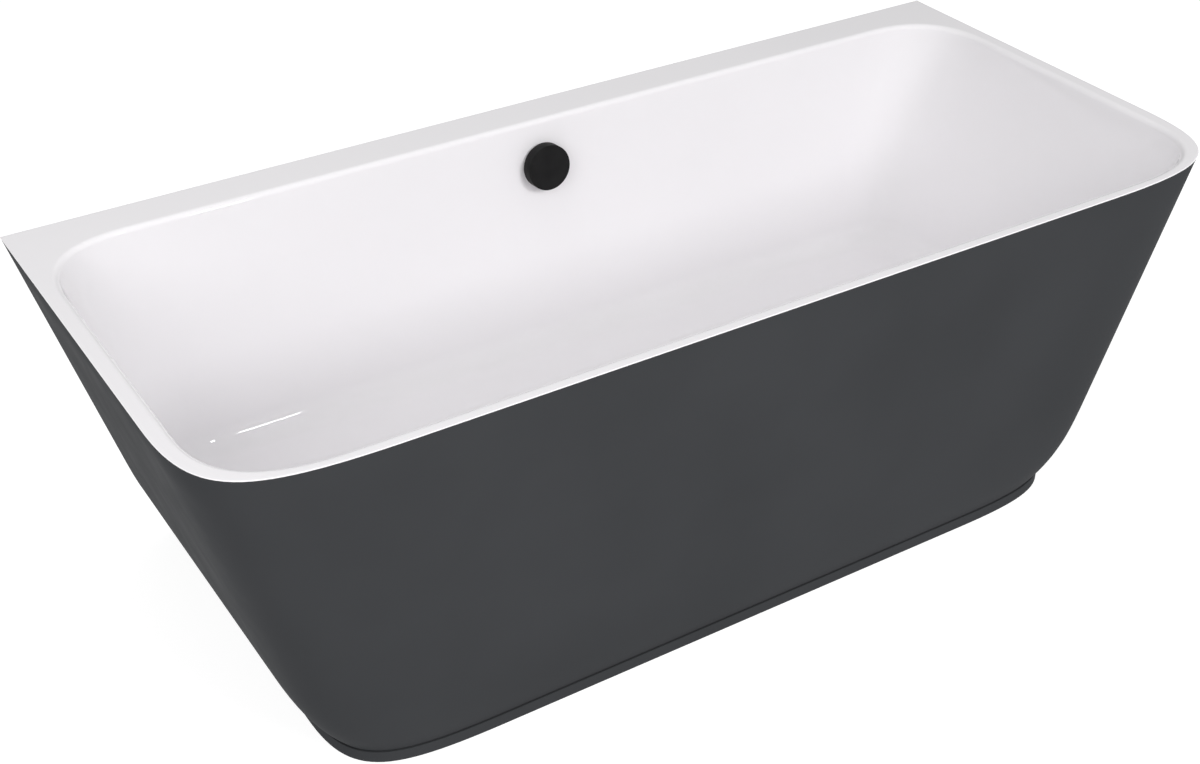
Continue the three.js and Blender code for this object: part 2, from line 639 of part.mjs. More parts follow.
function addWaste() {
  const group = new THREE.Group();
  group.position.set(0, WASTE_Y, SUMP_Z);
  tub.add(group);
  place(group, 'waste_cover', wasteCover(), acrylic());
  place(group, 'waste_flange', wasteFlange(), chrome());
  place(group, 'waste_seal', wasteSeal(), rubber());
  place(group, 'waste_body', wasteBody(), plastic());
  place(group, 'waste_plug', plug(), chrome());
  place(group, 'waste_plug_seal', plugSeal(), rubber());
  place(group, 'lift_lever', liftLever(), darkPlastic(), LEVER_ARM, 0, LEVER_Z);
  place(group, 'lever_pin', leverPin(), zincSteel(), LEVER_ARM, 0, LEVER_Z);
  place(group, 'cable_gland_lower', lowerGland(), brass());
  place(group, 'trap_cup', trapCup(), plastic());
  place(group, 'trap_nut', trapNut(), plastic());
  place(group, 'outlet_pipe', outletPipe(), plastic(), 0, 0, OUTLET_Z);
}

addCasing();
addSupport();
addOverflow();
addWaste();

export default tub;
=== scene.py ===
import json
import math

import bmesh
import bpy
from mathutils import Matrix, Vector


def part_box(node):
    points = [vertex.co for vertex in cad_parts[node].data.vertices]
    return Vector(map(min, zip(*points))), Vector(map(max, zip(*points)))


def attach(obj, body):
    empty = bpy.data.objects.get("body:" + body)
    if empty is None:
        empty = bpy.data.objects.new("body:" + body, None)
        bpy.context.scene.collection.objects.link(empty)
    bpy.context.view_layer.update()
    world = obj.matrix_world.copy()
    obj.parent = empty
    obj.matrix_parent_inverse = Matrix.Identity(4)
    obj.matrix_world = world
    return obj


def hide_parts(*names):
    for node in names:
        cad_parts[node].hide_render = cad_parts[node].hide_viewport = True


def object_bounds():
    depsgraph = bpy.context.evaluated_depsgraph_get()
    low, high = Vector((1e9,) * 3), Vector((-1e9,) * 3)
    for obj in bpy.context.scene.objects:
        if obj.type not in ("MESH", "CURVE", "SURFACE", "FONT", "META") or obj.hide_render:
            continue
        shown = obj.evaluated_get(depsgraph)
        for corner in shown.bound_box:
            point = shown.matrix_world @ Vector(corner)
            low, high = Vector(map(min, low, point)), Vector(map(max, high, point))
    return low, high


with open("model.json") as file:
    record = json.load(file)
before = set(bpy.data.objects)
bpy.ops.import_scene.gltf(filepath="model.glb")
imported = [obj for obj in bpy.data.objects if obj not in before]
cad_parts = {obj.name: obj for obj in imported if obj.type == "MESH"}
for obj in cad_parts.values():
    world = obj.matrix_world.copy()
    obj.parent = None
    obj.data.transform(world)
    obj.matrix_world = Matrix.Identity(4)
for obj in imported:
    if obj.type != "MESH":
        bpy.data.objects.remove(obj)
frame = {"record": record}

CAD_LOW, CAD_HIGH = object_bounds()
MM = 0.001
GAP = 0.3                      # mm between touching pieces

RECORD = frame["record"]
SLOT_OF = {part["node"]: part["material_slot"] for part in RECORD["subparts"]}
BODY_OF = {node: body for body, members in RECORD["behaviour"]["bodies"].items() for node in members}


def measured(node):
    """Lowest and highest corners of a CAD node, in millimetres."""
    return [Vector([round(value / MM, 2) for value in point]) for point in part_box(node)]


def middle(node):
    low, high = measured(node)
    return (low + high) / 2


# ------------------------------------------------------------------ driving sizes, millimetres
HEIGHT = CAD_HIGH.z / MM
HALF_X = CAD_HIGH.x / MM
HALF_Y = CAD_HIGH.y / MM
SIDE_SLOPE = 0.276
FRONT_SLOPE = 0.0838
CORNER_TOP = (288, 201)        # front corner reach along X and Y at the rim
CORNER_BASE = (272, 189)       # and at the floor
HANDLES = (0.81, 0.855)        # fullness of the outer corner curve
APRON_T = 5
TUCK = 25
TUCK_START = 176
TUCK_POWER = 3.1
PLINTH_H = 20
PLINTH_PROUD = 3.2
PLINTH_W = 20

RIM_T = 6
LIP_T = 1.9                    # edge of the rim that shows above the casing
REBATE = 7.4                   # step behind the lip
SHELL_T = 6
DECK_X, DECK_FRONT, DECK_REAR = 880, 388, 331
ROLL_R = 8
COVE_R = 38
FLOOR_Z = measured("waste_cover")[1].z    # the cover lies level with the basin floor
DEPTH = HEIGHT - FLOOR_Z
END_LEAN = 0.298
WALL_LEAN = math.tan(math.radians(6))
REAR_TOP, REAR_BASE = (145, 145), (100, 100)
FRONT_TOP, FRONT_BASE = (180, 150), (130, 110)
INNER_HANDLES = (0.68, 0.68)

SUMP_X, SUMP_Y, SUMP_R, SUMP_DEPTH = 113, 68, 28, 26
SUMP_Z = FLOOR_Z - SUMP_DEPTH
COVER_T, COVER_GAP = 4, 3      # water runs in round the cover's edge
COVER_LEG_X, COVER_LEG_Y, COVER_LEG_R = 88, 43, 5
WASTE_Y = middle("waste_cover").y         # waste heights count from the sump's floor
WASTE_HOLE_R = 27
HOSE_R, HOSE_BORE = 16, 13.5
INLET_Z = -48
LEVER_Z = -34
LEVER_ARM = 22
OUTLET_Z = -110

KNOB_DROP = 80
KNOB_R = 40
KNOB_PROUD = 24
OVERFLOW_HOLE_R = 26
SPINDLE_R = 4
SPOUT_AXIS = -31
GLAND_X = 26                   # pull wire's place beside the spout
WIRE_HOLE_R = 1.8

BOARD_T = 16
BOARD_LOW, BOARD_HIGH = measured("base_board")
BOARD_X, BOARD_FRONT, BOARD_REAR = BOARD_HIGH.x, BOARD_LOW.y, BOARD_HIGH.y
BOARD_TOP = FLOOR_Z - SHELL_T - GAP
RAIL_FRONT, RAIL_REAR = [point.y for point in measured("rail_right")]
RAIL_X = middle("rail_right").x
RAIL_W, RAIL_H, RAIL_T = 30, 40, 2
RAIL_TOP = BOARD_TOP - BOARD_T - GAP
RAIL_BOTTOM = RAIL_TOP - RAIL_H
RAIL_SCREW_Y = [middle(f"rail_screw_right_{number}").y for number in (1, 2)]
FOOT_Y = [middle(f"foot_right_{number}_stud").y for number in (1, 2)]
STUD_R = 5
NUT_R = 9.8                    # to the corners of the hexagon
THREAD_PITCH = 1.5
BRACKET_X = middle("wall_bracket_right").x

CORNER_STEPS = 28
SUPPORT = 3                    # mm from a curved stretch to the loop that keeps the flat one flat


# ------------------------------------------------------------------ meshes
def make_object(name, points, faces):
    """A mesh object from points in millimetres and faces, its faces turned outwards."""
    mesh = bpy.data.meshes.new(name)
    mesh.from_pydata([Vector(p) * MM for p in points], [], faces)
    bm = bmesh.new()
    bm.from_mesh(mesh)
    bmesh.ops.recalc_face_normals(bm, faces=bm.faces)
    bm.to_mesh(mesh)
    bm.free()
    obj = bpy.data.objects.new(name, mesh)
    bpy.context.scene.collection.objects.link(obj)
    return obj


def loft(rings, closed_profile=False):
    """Points and faces of a skin through closed rings with equal counts. An open profile is capped."""
    count = len(rings[0])
    points = [p for ring in rings for p in ring]
    faces = []
    last = len(rings) if closed_profile else len(rings) - 1
    for k in range(last):
        low = k * count
        high = (k + 1) % len(rings) * count
        for i in range(count):
            j = (i + 1) % count
            faces.append((low + i, low + j, high + j, high + i))
    if not closed_profile:
        faces.append(tuple(reversed(range(count))))
        faces.append(tuple(range(len(points) - count, len(points))))
    return points, faces


def rounded(corners, steps=5):
    """Closed or open outline through (x, y) or (x, y, fillet) corners, with arcs at the fillets."""
    points = []
    for i, (x, y, *fillet) in enumerate(corners):
        here = Vector((x, y))
        if not fillet:
            points.append(here)
            continue
        before = (Vector(corners[i - 1][:2]) - here).normalized()
        after = (Vector(corners[(i + 1) % len(corners)][:2]) - here).normalized()
        half = before.angle(after) / 2
        centre = here + (before + after).normalized() * fillet[0] / math.sin(half)
        reach = fillet[0] / math.tan(half)
        start = here + before * reach - centre
        end = here + after * reach - centre
        first = math.atan2(start.y, start.x)
        turn = (math.atan2(end.y, end.x) - first + math.pi) % (2 * math.pi) - math.pi
        for k in range(steps + 1):
            angle = first + turn * k / steps
            points.append(centre + Vector((math.cos(angle), math.sin(angle))) * fillet[0])
    return points


def turned(name, corners, place=Matrix(), sides=64, steps=5):
    """A turned part: its profile is (r, z) or (r, z, fillet) corners, on the axis at both ends or a ring."""
    profile = rounded(corners, steps)
    points, rows, faces = [], [], []
    for r, z in profile:
        if r < 1e-6:
            rows.append([len(points)] * sides)
            points.append(place @ Vector((0, 0, z)))
            continue
        rows.append(list(range(len(points), len(points) + sides)))
        for k in range(sides):
            angle = 2 * math.pi * k / sides
            points.append(place @ Vector((r * math.cos(angle), r * math.sin(angle), z)))
    if profile[0].x > 1e-6:
        rows.append(rows[0])
    for low, high in zip(rows, rows[1:]):
        for k in range(sides):
            j = (k + 1) % sides
            face = (low[k], low[j], high[j], high[k])
            face = tuple(dict.fromkeys(face))
            if len(face) > 2:
                faces.append(face)
    return make_object(name, points, faces)


def prism(name, outline, low, high, place=Matrix()):
    """An outline in X-Y, extruded along Z between two heights."""
    rings = [[place @ Vector((x, y, z)) for x, y in outline] for z in (low, high)]
    return make_object(name, *loft(rings))


def box(name, x0, x1, y0, y1, z0, z1, place=Matrix()):
    return prism(name, [(x0, y0), (x1, y0), (x1, y1), (x0, y1)], z0, z1, place)


def sweep(name, path, radius_at, sides, bore=None):
    """A tube along path points, its radius a function of the distance travelled; bore hollows it."""
    side = Vector((1, 0, 0))
    travelled = 0.0
    rings, inner = [], []
    for i, point in enumerate(path):
        ahead = path[min(i + 1, len(path) - 1)] - path[max(i - 1, 0)]
        ahead.normalize()
        side = (side - ahead * side.dot(ahead)).normalized()
        across = ahead.cross(side)
        if i:
            travelled += (point - path[i - 1]).length
        around = [
            side * math.cos(2 * math.pi * k / sides) + across * math.sin(2 * math.pi * k / sides)
            for k in range(sides)
        ]
        rings.append([point + d * radius_at(travelled) for d in around])
        if bore:
            inner.append([point + d * bore for d in around])
    return make_object(name, *loft(rings + inner[::-1], closed_profile=bool(bore)))


def apply_modifiers(obj):
    """Bake the object's modifiers into its mesh."""
    bpy.context.view_layer.update()
    graph = bpy.context.evaluated_depsgraph_get()
    mesh = bpy.data.meshes.new_from_object(obj.evaluated_get(graph))
    obj.modifiers.clear()
    obj.data = mesh


def combine(obj, other, how):
    """Join another solid to this one ('UNION') or cut it away ('DIFFERENCE'), and drop the other."""
    step = obj.modifiers.new("join", "BOOLEAN")
    step.operation = how
    step.solver = "EXACT"
    step.object = other
    apply_modifiers(obj)
    bpy.data.objects.remove(other)


def soften(obj, width, segments=2, angle=40):
    """Small bevel along the sharp edges."""
    step = obj.modifiers.new("edges", "BEVEL")
    step.width = width * MM
    step.segments = segments
    step.limit_method = "ANGLE"
    step.angle_limit = math.radians(angle)
    step.use_clamp_overlap = True
    apply_modifiers(obj)


def stand_for(obj, node, sharp=35):
    """Shade the piece, give it its finish, and let it stand for a CAD node on that node's body."""
    mesh = obj.data
    mesh.shade_smooth()
    mesh.set_sharp_from_angle(angle=math.radians(sharp))
    mesh.materials.clear()
    mesh.materials.append(FINISHES[SLOT_OF[node]])
    obj.name = f"{node}_fine"
    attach(obj, BODY_OF[node])
    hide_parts(node)


# ------------------------------------------------------------------ outlines, millimetres
def bezier(a, b, c, d, steps):
    points = []
    for k in range(steps + 1):
        t = k / steps
        u = 1 - t
        points.append(a * u**3 + b * 3 * u * u * t + c * 3 * u * t * t + d * t**3)
    return points


def corner(x, y, reach, handles, sx, sy):
    """Corner curve from the side panel to the front or rear one; sx and sy give its quarter."""
    a, b = reach
    side = Vector((sx * x, sy * (y - b)))
    side_handle = Vector((sx * x, sy * (y - b * (1 - handles[1]))))
    end_handle = Vector((sx * (x - a * (1 - handles[0])), sy * y))
    end = Vector((sx * (x - a), sy * y))
    return bezier(side, side_handle, end_handle, end, CORNER_STEPS)


def square_corner(x, y, reach, sx, sy):
    """The same number of points along a square corner."""
    half = CORNER_STEPS // 2
    along = [Vector((sx * x, sy * (y - reach[1] * (1 - k / half)))) for k in range(half)]
    across = [Vector((sx * (x - reach[0] * k / half), sy * y)) for k in range(half + 1)]
    return along + across


def with_straights(corners, counts):
    """Corner curves joined into a closed outline, each straight split, with loops near its ends."""
    outline = []
    for i, curve in enumerate(corners):
        outline += curve
        start, end = curve[-1], corners[(i + 1) % len(corners)][0]
        if i < len(counts):
            outline += between(start, end, counts[i])
    return outline


def between(start, end, parts):
    """Points inside a straight: one near each end and the rest evenly spread."""
    ahead = (end - start).normalized() * SUPPORT
    inside = [start.lerp(end, k / parts) for k in range(1, parts)]
    return [start + ahead, *inside, end - ahead]


def mix_reach(low, high, t, inset):
    return tuple(a + (b - a) * t - inset for a, b in zip(low, high))


STRAIGHT_PARTS = (12, 6, 12, 6)    # front, right, rear, left


def rim_ring(z, inset, rear_inset=None):
    """Rim outline: square at the wall, rounded at the front. Starts at the front left corner."""
    x, y = HALF_X - inset, HALF_Y - inset
    rear = HALF_Y - (inset if rear_inset is None else rear_inset)
    front = mix_reach(CORNER_TOP, CORNER_TOP, 0, inset)
    corners = [
        corner(x, y, front, HANDLES, -1, -1),
        corner(x, y, front, HANDLES, 1, -1)[::-1],
        square_corner(x, rear, REAR_TOP, 1, 1),
        square_corner(x, rear, REAR_TOP, -1, 1)[::-1],
    ]
    return [Vector((p.x, p.y, z)) for p in with_straights(corners, STRAIGHT_PARTS)]


def basin_ring(z, inset):
    """Basin section at height z, moved in by inset on all walls. Starts at the front left corner."""
    drop = HEIGHT - z
    x = DECK_X - ROLL_R - drop * END_LEAN - inset
    front = DECK_FRONT - ROLL_R - drop * WALL_LEAN - inset
    rear = DECK_REAR - ROLL_R - drop * WALL_LEAN - inset
    t = 1 - drop / DEPTH
    front_reach = mix_reach(FRONT_BASE, FRONT_TOP, t, inset)
    rear_reach = mix_reach(REAR_BASE, REAR_TOP, t, inset)
    corners = [
        corner(x, front, front_reach, INNER_HANDLES, -1, -1),
        corner(x, front, front_reach, INNER_HANDLES, 1, -1)[::-1],
        corner(x, rear, rear_reach, INNER_HANDLES, 1, 1),
        corner(x, rear, rear_reach, INNER_HANDLES, -1, 1)[::-1],
    ]
    return [Vector((p.x, p.y, z)) for p in with_straights(corners, STRAIGHT_PARTS)]


def tuck_at(z):
    """Inward roll of the casing's lower edge."""
    return TUCK * max(0, (TUCK_START - z) / (TUCK_START - PLINTH_H)) ** TUCK_POWER


def casing_line(z, inset, rear):
    """Casing section at height z as an open line: rear left, round the front, rear right."""
    drop = HEIGHT - z
    x = HALF_X - drop * SIDE_SLOPE - inset
    front = HALF_Y - drop * FRONT_SLOPE - inset
    reach = mix_reach(CORNER_BASE, CORNER_TOP, z / HEIGHT, inset)
    left = corner(x, front, reach, HANDLES, -1, -1)
    right = corner(x, front, reach, HANDLES, 1, -1)[::-1]
    start, end = Vector((-x, rear)), Vector((x, rear))
    line = [start, *between(start, left[0], 6), *left, *between(left[-1], right[0], 12)]
    line += [*right, *between(right[-1], end, 6), end]
    return [Vector((p.x, p.y, z)) for p in line]


# ------------------------------------------------------------------ shell and casing
def cove_levels(skin, steps):
    """Rings of the cove between floor and walls, grown outwards by skin, lowest first."""
    levels = []
    for k in range(steps + 1):
        angle = k / steps * math.pi / 2
        z = FLOOR_Z + COVE_R - (COVE_R + skin) * math.cos(angle)
        levels.append(basin_ring(z, COVE_R - (COVE_R + skin) * math.sin(angle)))
    return levels


def floor_rings(z, skin, insets):
    """Flat rings inside the cove, from the middle outwards."""
    start = cove_levels(skin, 1)[0]
    return [[Vector((p.x * (1 - t), p.y * (1 - t), z)) for p in start] for t in insets]


def wall_heights(parts):
    low = FLOOR_Z + COVE_R + SUPPORT
    high = HEIGHT - ROLL_R - SUPPORT
    return [low + (high - low) * k / parts for k in range(parts + 1)]


def inner_skin():
    """Floor, cove, walls and the roll up to the deck."""
    levels = floor_rings(FLOOR_Z, 0, (0.5, 0.2, 0.03, 0.006))
    levels += cove_levels(0, 14)
    levels += [basin_ring(z, 0) for z in wall_heights(6)]
    for k in range(13):
        angle = k / 12 * math.pi / 2
        out = ROLL_R * (1 - math.cos(angle))
        levels.append(basin_ring(HEIGHT - ROLL_R * (1 - math.sin(angle)), -out))
    levels.append(basin_ring(HEIGHT, -ROLL_R - SUPPORT))
    return levels


def rim_edge():
    """Outer edge of the deck from the top face down, and the step behind the lip."""
    radius = 1.0
    levels = [rim_ring(HEIGHT, radius + SUPPORT)]
    for k in range(6):
        angle = k / 5 * math.pi / 2
        levels.append(rim_ring(HEIGHT - radius * (1 - math.cos(angle)), radius * (1 - math.sin(angle))))
    levels += [rim_ring(HEIGHT - LIP_T + 0.3, 0), rim_ring(HEIGHT - LIP_T, 0.3)]
    step = [HEIGHT - LIP_T, HEIGHT - RIM_T + 0.6]
    levels += [rim_ring(z, REBATE, 0.3) for z in step]
    return levels + [rim_ring(HEIGHT - RIM_T, REBATE + 0.6, 0.9)]


def outer_skin():
    """Underside of the deck, outside of the walls and underside of the floor, downwards."""
    levels = [basin_ring(HEIGHT - RIM_T, -SHELL_T - 2), basin_ring(HEIGHT - RIM_T - 2, -SHELL_T)]
    levels += [basin_ring(z, -SHELL_T) for z in wall_heights(3)[::-1][1:]]
    levels += cove_levels(SHELL_T, 8)[::-1]
    return levels + floor_rings(FLOOR_Z - SHELL_T, SHELL_T, (0.03, 0.5))


def overflow_frame():
    """Frame on the rear wall's inner face: +Z looks into the basin, +Y runs up the wall."""
    rear = DECK_REAR - ROLL_R - KNOB_DROP * WALL_LEAN
    place = Matrix.Translation((0, rear, HEIGHT - KNOB_DROP))
    return place @ Matrix.Rotation(math.pi / 2 - math.atan(WALL_LEAN), 4, "X")


WASTE_FRAME = Matrix.Translation((0, WASTE_Y, SUMP_Z))
OVERFLOW_FRAME = overflow_frame()


def post(radius, low, high, place=Matrix(), sides=64):
    return turned("post", [(0, low), (radius, low), (radius, high), (0, high)], place, sides)


def lying(place, towards):
    """The same frame with its Z axis laid along 'X' or 'Y'."""
    if towards == "X":
        return place @ Matrix.Rotation(math.pi / 2, 4, "Y")
    return place @ Matrix.Rotation(-math.pi / 2, 4, "X")


def rounded_ring(x, y, radius, z):
    """Rounded rectangle of half sizes x and y, level at z in the waste's frame."""
    outline = rounded([(x, y, radius), (-x, y, radius), (-x, -y, radius), (x, -y, radius)], 12)
    return [WASTE_FRAME @ Vector((p.x, p.y, z)) for p in outline]


def sump_ring(z, out):
    return rounded_ring(SUMP_X + out, SUMP_Y + out, SUMP_R + out, z)


def sump_hollow():
    """The room inside the sump: coved at its floor, flared at its mouth."""
    cove, flare = 6, 1.5
    quarter = [k / 6 * math.pi / 2 for k in range(7)]
    levels = [sump_ring(cove * (1 - math.cos(t)), cove * (math.sin(t) - 1)) for t in quarter]
    for t in quarter:
        levels.append(sump_ring(SUMP_DEPTH - flare * (1 - math.sin(t)), flare * (1 - math.cos(t))))
    levels.append(sump_ring(SUMP_DEPTH + 10, flare))
    return make_object("hollow", *loft(levels))


def sump_skin():
    low, high = -SHELL_T, SUMP_DEPTH - 1
    levels = [sump_ring(low, 3), sump_ring(low + 1, SHELL_T - 1), sump_ring(low + 3, SHELL_T)]
    return make_object("skin", *loft(levels + [sump_ring(high, SHELL_T)]))


def tub_shell():
    shell = make_object("tub_shell", *loft(inner_skin() + rim_edge() + outer_skin()))
    combine(shell, sump_skin(), "UNION")
    combine(shell, sump_hollow(), "DIFFERENCE")
    combine(shell, post(WASTE_HOLE_R, -20, 10, WASTE_FRAME), "DIFFERENCE")
    combine(shell, post(OVERFLOW_HOLE_R, -20, 20, OVERFLOW_FRAME), "DIFFERENCE")
    stand_for(shell, "tub_shell")


def casing_bar(name, heights, inset_at, thickness):
    """A casing panel: the outer skin up, the inner skin down, swept round the three sides."""
    outer = [casing_line(z, inset_at(z), HALF_Y) for z in heights]
    inner = [casing_line(z, inset_at(z) + thickness, HALF_Y) for z in reversed(heights)]
    sections = [list(section) for section in zip(*(outer + inner))]
    return make_object(name, *loft(sections))


def apron():
    top = HEIGHT - LIP_T - GAP
    bottom = PLINTH_H + GAP
    low = [bottom + (TUCK_START - bottom) * (k / 22) ** 1.3 for k in range(23)]
    heights = low + [TUCK_START + (top - TUCK_START) * k / 7 for k in range(1, 8)]
    panel = casing_bar("apron", heights, tuck_at, APRON_T)
    soften(panel, 0.12)
    stand_for(panel, "apron")


def plinth():
    inset = TUCK - PLINTH_PROUD
    heights = [0, 6, 12, PLINTH_H - 1.2, PLINTH_H]

    def line(z, extra):
        return [Vector((p.x, p.y, z)) for p in casing_line(PLINTH_H, inset + extra, HALF_Y)]

    outer = [line(z, 0) for z in heights]
    inner = [line(z, PLINTH_W) for z in reversed(heights)]
    bar = make_object("plinth", *loft([list(section) for section in zip(*(outer + inner))]))
    soften(bar, 0.4, 3)
    stand_for(bar, "plinth")


# ------------------------------------------------------------------ support frame
def thread(radius, low, high, depth=0.55):
    """Profile of a thread's roots and crests between two heights."""
    count = int((high - low) / THREAD_PITCH)
    profile = []
    for k in range(count):
        z = low + k * THREAD_PITCH
        profile += [(radius - depth, z), (radius, z + THREAD_PITCH / 2)]
    return profile + [(radius - depth, low + count * THREAD_PITCH)]


def at(x, y, z=0):
    return Matrix.Translation((x, y, z))


def base_board():
    bottom = BOARD_TOP - BOARD_T
    board = box("board", -BOARD_X, BOARD_X, BOARD_FRONT, BOARD_REAR, bottom, BOARD_TOP)
    hole = [sump_ring(z - SUMP_Z, SHELL_T + 4) for z in (bottom - 1, BOARD_TOP + 1)]
    combine(board, make_object("hole", *loft(hole)), "DIFFERENCE")
    for x in (-RAIL_X, RAIL_X):
        for y in RAIL_SCREW_Y:
            combine(board, post(3 + GAP, bottom - 1, bottom + 12, at(x, y), 24), "DIFFERENCE")
    soften(board, 0.6)
    stand_for(board, "base_board")


def tube_ring(half_x, low, high, radius, y):
    """Rounded rectangle across a rail, standing at y."""
    outline = rounded([(half_x, high, radius), (-half_x, high, radius), (-half_x, low, radius),
                       (half_x, low, radius)], 5)
    return [Vector((p.x, y, p.y)) for p in outline]


def rail(side, x):
    half = RAIL_W / 2
    outer = [tube_ring(half, RAIL_BOTTOM, RAIL_TOP, 3.5, y) for y in (RAIL_FRONT, RAIL_REAR)]
    low, high = RAIL_BOTTOM + RAIL_T, RAIL_TOP - RAIL_T
    inner = [tube_ring(half - RAIL_T, low, high, 1.5, y) for y in (RAIL_REAR, RAIL_FRONT)]
    tube = make_object("rail", *loft(outer + inner, closed_profile=True))
    for y in RAIL_SCREW_Y:
        combine(tube, post(3 + GAP, RAIL_BOTTOM - 1, RAIL_TOP + 1, at(0, y), 24), "DIFFERENCE")
    for y in FOOT_Y:
        combine(tube, post(STUD_R + 1, RAIL_BOTTOM - 1, low + 1, at(0, y), 32), "DIFFERENCE")
    soften(tube, 0.25)
    tube.data.transform(Matrix.Translation((x * MM, 0, 0)))
    stand_for(tube, f"rail_{side}")


def rail_screw(node, x, y):
    """Pan head with a cross recess under the rail; the thread runs up into the board."""
    head = RAIL_BOTTOM - GAP
    profile = [(0, head - 4), (4.5, head - 4, 1), (6, head - 2, 0.8), (6, head), (2.9, head)]
    profile += thread(3, head + 2, RAIL_TOP + 9, 0.5) + [(0, RAIL_TOP + 12)]
    screw = turned("screw", profile, at(x, y), 24)
    for turn in (0, math.pi / 2):
        place = at(x, y) @ Matrix.Rotation(turn, 4, "Z")
        slot = box("slot", -2.6, 2.6, -0.5, 0.5, head - 5, head - 2.2, place)
        combine(screw, slot, "DIFFERENCE")
    stand_for(screw, node)


def hex_nut(node, low, high, place):
    angles = [math.pi * (k / 3 - 0.5) for k in range(6)]
    outline = [(NUT_R * math.cos(angle), NUT_R * math.sin(angle)) for angle in angles]
    nut = prism("nut", outline, low, high, place)
    barrel = [(0, low), (8.6, low), (NUT_R, low + 0.8), (NUT_R, high - 0.8), (8.6, high), (0, high)]
    combine(nut, turned("barrel", barrel, place, 48), "INTERSECT")
    inside = STUD_R + GAP
    bore = [(0, low - 1), (inside + 1.6, low - 1), (inside, low + 0.7), (inside, high - 0.7),
            (inside + 1.6, high + 1), (0, high + 1)]
    combine(nut, turned("bore", bore, place, 32), "DIFFERENCE")
    stand_for(nut, node)


def foot(side, number, x, y):
    """Threaded stud in a rubber pad, with a nut inside the rail and a lock nut below it."""
    name = f"foot_{side}_{number}"
    place = at(x, y)
    stud = [(0, 4 + GAP), (STUD_R - 1, 4 + GAP), (STUD_R - 0.5, 5.5), (STUD_R - 0.5, 15)]
    stud += thread(STUD_R, 16, 182) + [(STUD_R - 1.2, 184), (0, 184)]
    stand_for(turned("stud", stud, place, 24), f"{name}_stud")
    pad = [(0, 0), (24, 0, 0.6), (25, 1.5, 0.6), (23, 9, 2), (14, 11, 3), (10, 14, 1), (STUD_R + GAP, 14),
           (STUD_R + GAP, 4), (0, 4)]
    stand_for(turned("pad", pad, place, 48), f"{name}_pad")
    seat = RAIL_BOTTOM + RAIL_T + GAP
    hex_nut(f"{name}_rail_nut", seat, seat + 10, place)
    hex_nut(f"{name}_lock_nut", RAIL_BOTTOM - GAP - 7, RAIL_BOTTOM - GAP, place)


def wall_bracket(side, x):
    """Folded angle: two round holes to the wall and a shelf."""
    shelf = HEIGHT - RIM_T - 2.5
    low = shelf - 85
    outline = rounded([(397, low, 0.6), (400, low, 0.6), (400, shelf, 3.6), (345, shelf, 0.6),
                       (345, shelf - 3, 0.6), (397, shelf - 3, 1)], 6)
    across = Matrix(((0, 0, 1, x), (1, 0, 0, 0), (0, 1, 0, 0), (0, 0, 0, 1)))
    bracket = prism("bracket", outline, -30, 30, across)
    for dx in (-16, 16):
        hole = post(4.5, 390, 410, lying(at(x + dx, 0, shelf - 55), "Y"), 32)
        combine(bracket, hole, "DIFFERENCE")
    soften(bracket, 0.3)
    stand_for(bracket, f"wall_bracket_{side}")


def rim_pad(side, x):
    """Rubber strip with shallow grooves across its top."""
    top = HEIGHT - RIM_T - GAP
    pad = box("pad", x - 26, x + 26, 350, 394, HEIGHT - RIM_T - 2.2, top)
    for k in range(8):
        y = 355 + 4.9 * k
        combine(pad, box("groove", x - 40, x + 40, y - 0.6, y + 0.6, top - 0.5, top + 1), "DIFFERENCE")
    stand_for(pad, f"rim_pad_{side}")


def support():
    base_board()
    for side, sign in (("left", -1), ("right", 1)):
        rail(side, sign * RAIL_X)
        for k, y in enumerate(RAIL_SCREW_Y):
            rail_screw(f"rail_screw_{side}_{k + 1}", sign * RAIL_X, y)
        for k, y in enumerate(FOOT_Y):
            foot(side, k + 1, sign * RAIL_X, y)
        wall_bracket(side, sign * BRACKET_X)
        rim_pad(side, sign * BRACKET_X)


# ------------------------------------------------------------------ overflow control
def overflow_knob():
    """Hollow cap with a rounded face edge, a hub for the spindle and ribs between hub and rim."""
    wall = KNOB_R - 3.5
    profile = [(0, 17), (SPINDLE_R + GAP, 17), (SPINDLE_R + GAP, 8), (9, 8, 0.5), (9, 20), (wall, 20),
               (wall, 3.5, 0.6), (KNOB_R, 3.5, 0.6), (KNOB_R, KNOB_PROUD, 1.3), (0, KNOB_PROUD)]
    knob = turned("knob", profile, OVERFLOW_FRAME, 160, 6)
    for k in range(6):
        place = OVERFLOW_FRAME @ Matrix.Rotation(k * math.pi / 3, 4, "Z")
        combine(knob, box("rib", 8.5, wall + 0.5, -1, 1, 14, 20.5, place), "UNION")
    stand_for(knob, "overflow_knob")


def overflow_spindle():
    low, high = -54, 17 - GAP
    profile = [(0, low), (SPINDLE_R, low, 0.6), (SPINDLE_R, -30), (SPINDLE_R - 0.5, -29.5),
               (SPINDLE_R - 0.5, -28.5), (SPINDLE_R, -28), (SPINDLE_R, high, 0.6), (0, high)]
    stand_for(turned("spindle", profile, OVERFLOW_FRAME, 40), "overflow_spindle")


def overflow_crank():
    """Disc with a hole for the pull wire's nipple and a raised boss."""
    inside = SPINDLE_R + GAP
    profile = [(inside, -33), (17, -33, 0.5), (17, -30.2, 0.5), (8, -30.2, 0.3), (7, -29), (inside, -29)]
    disc = turned("disc", profile, OVERFLOW_FRAME, 64)
    combine(disc, post(WIRE_HOLE_R, -40, -20, OVERFLOW_FRAME @ at(12, 0), 24), "DIFFERENCE")
    stand_for(disc, "overflow_crank")


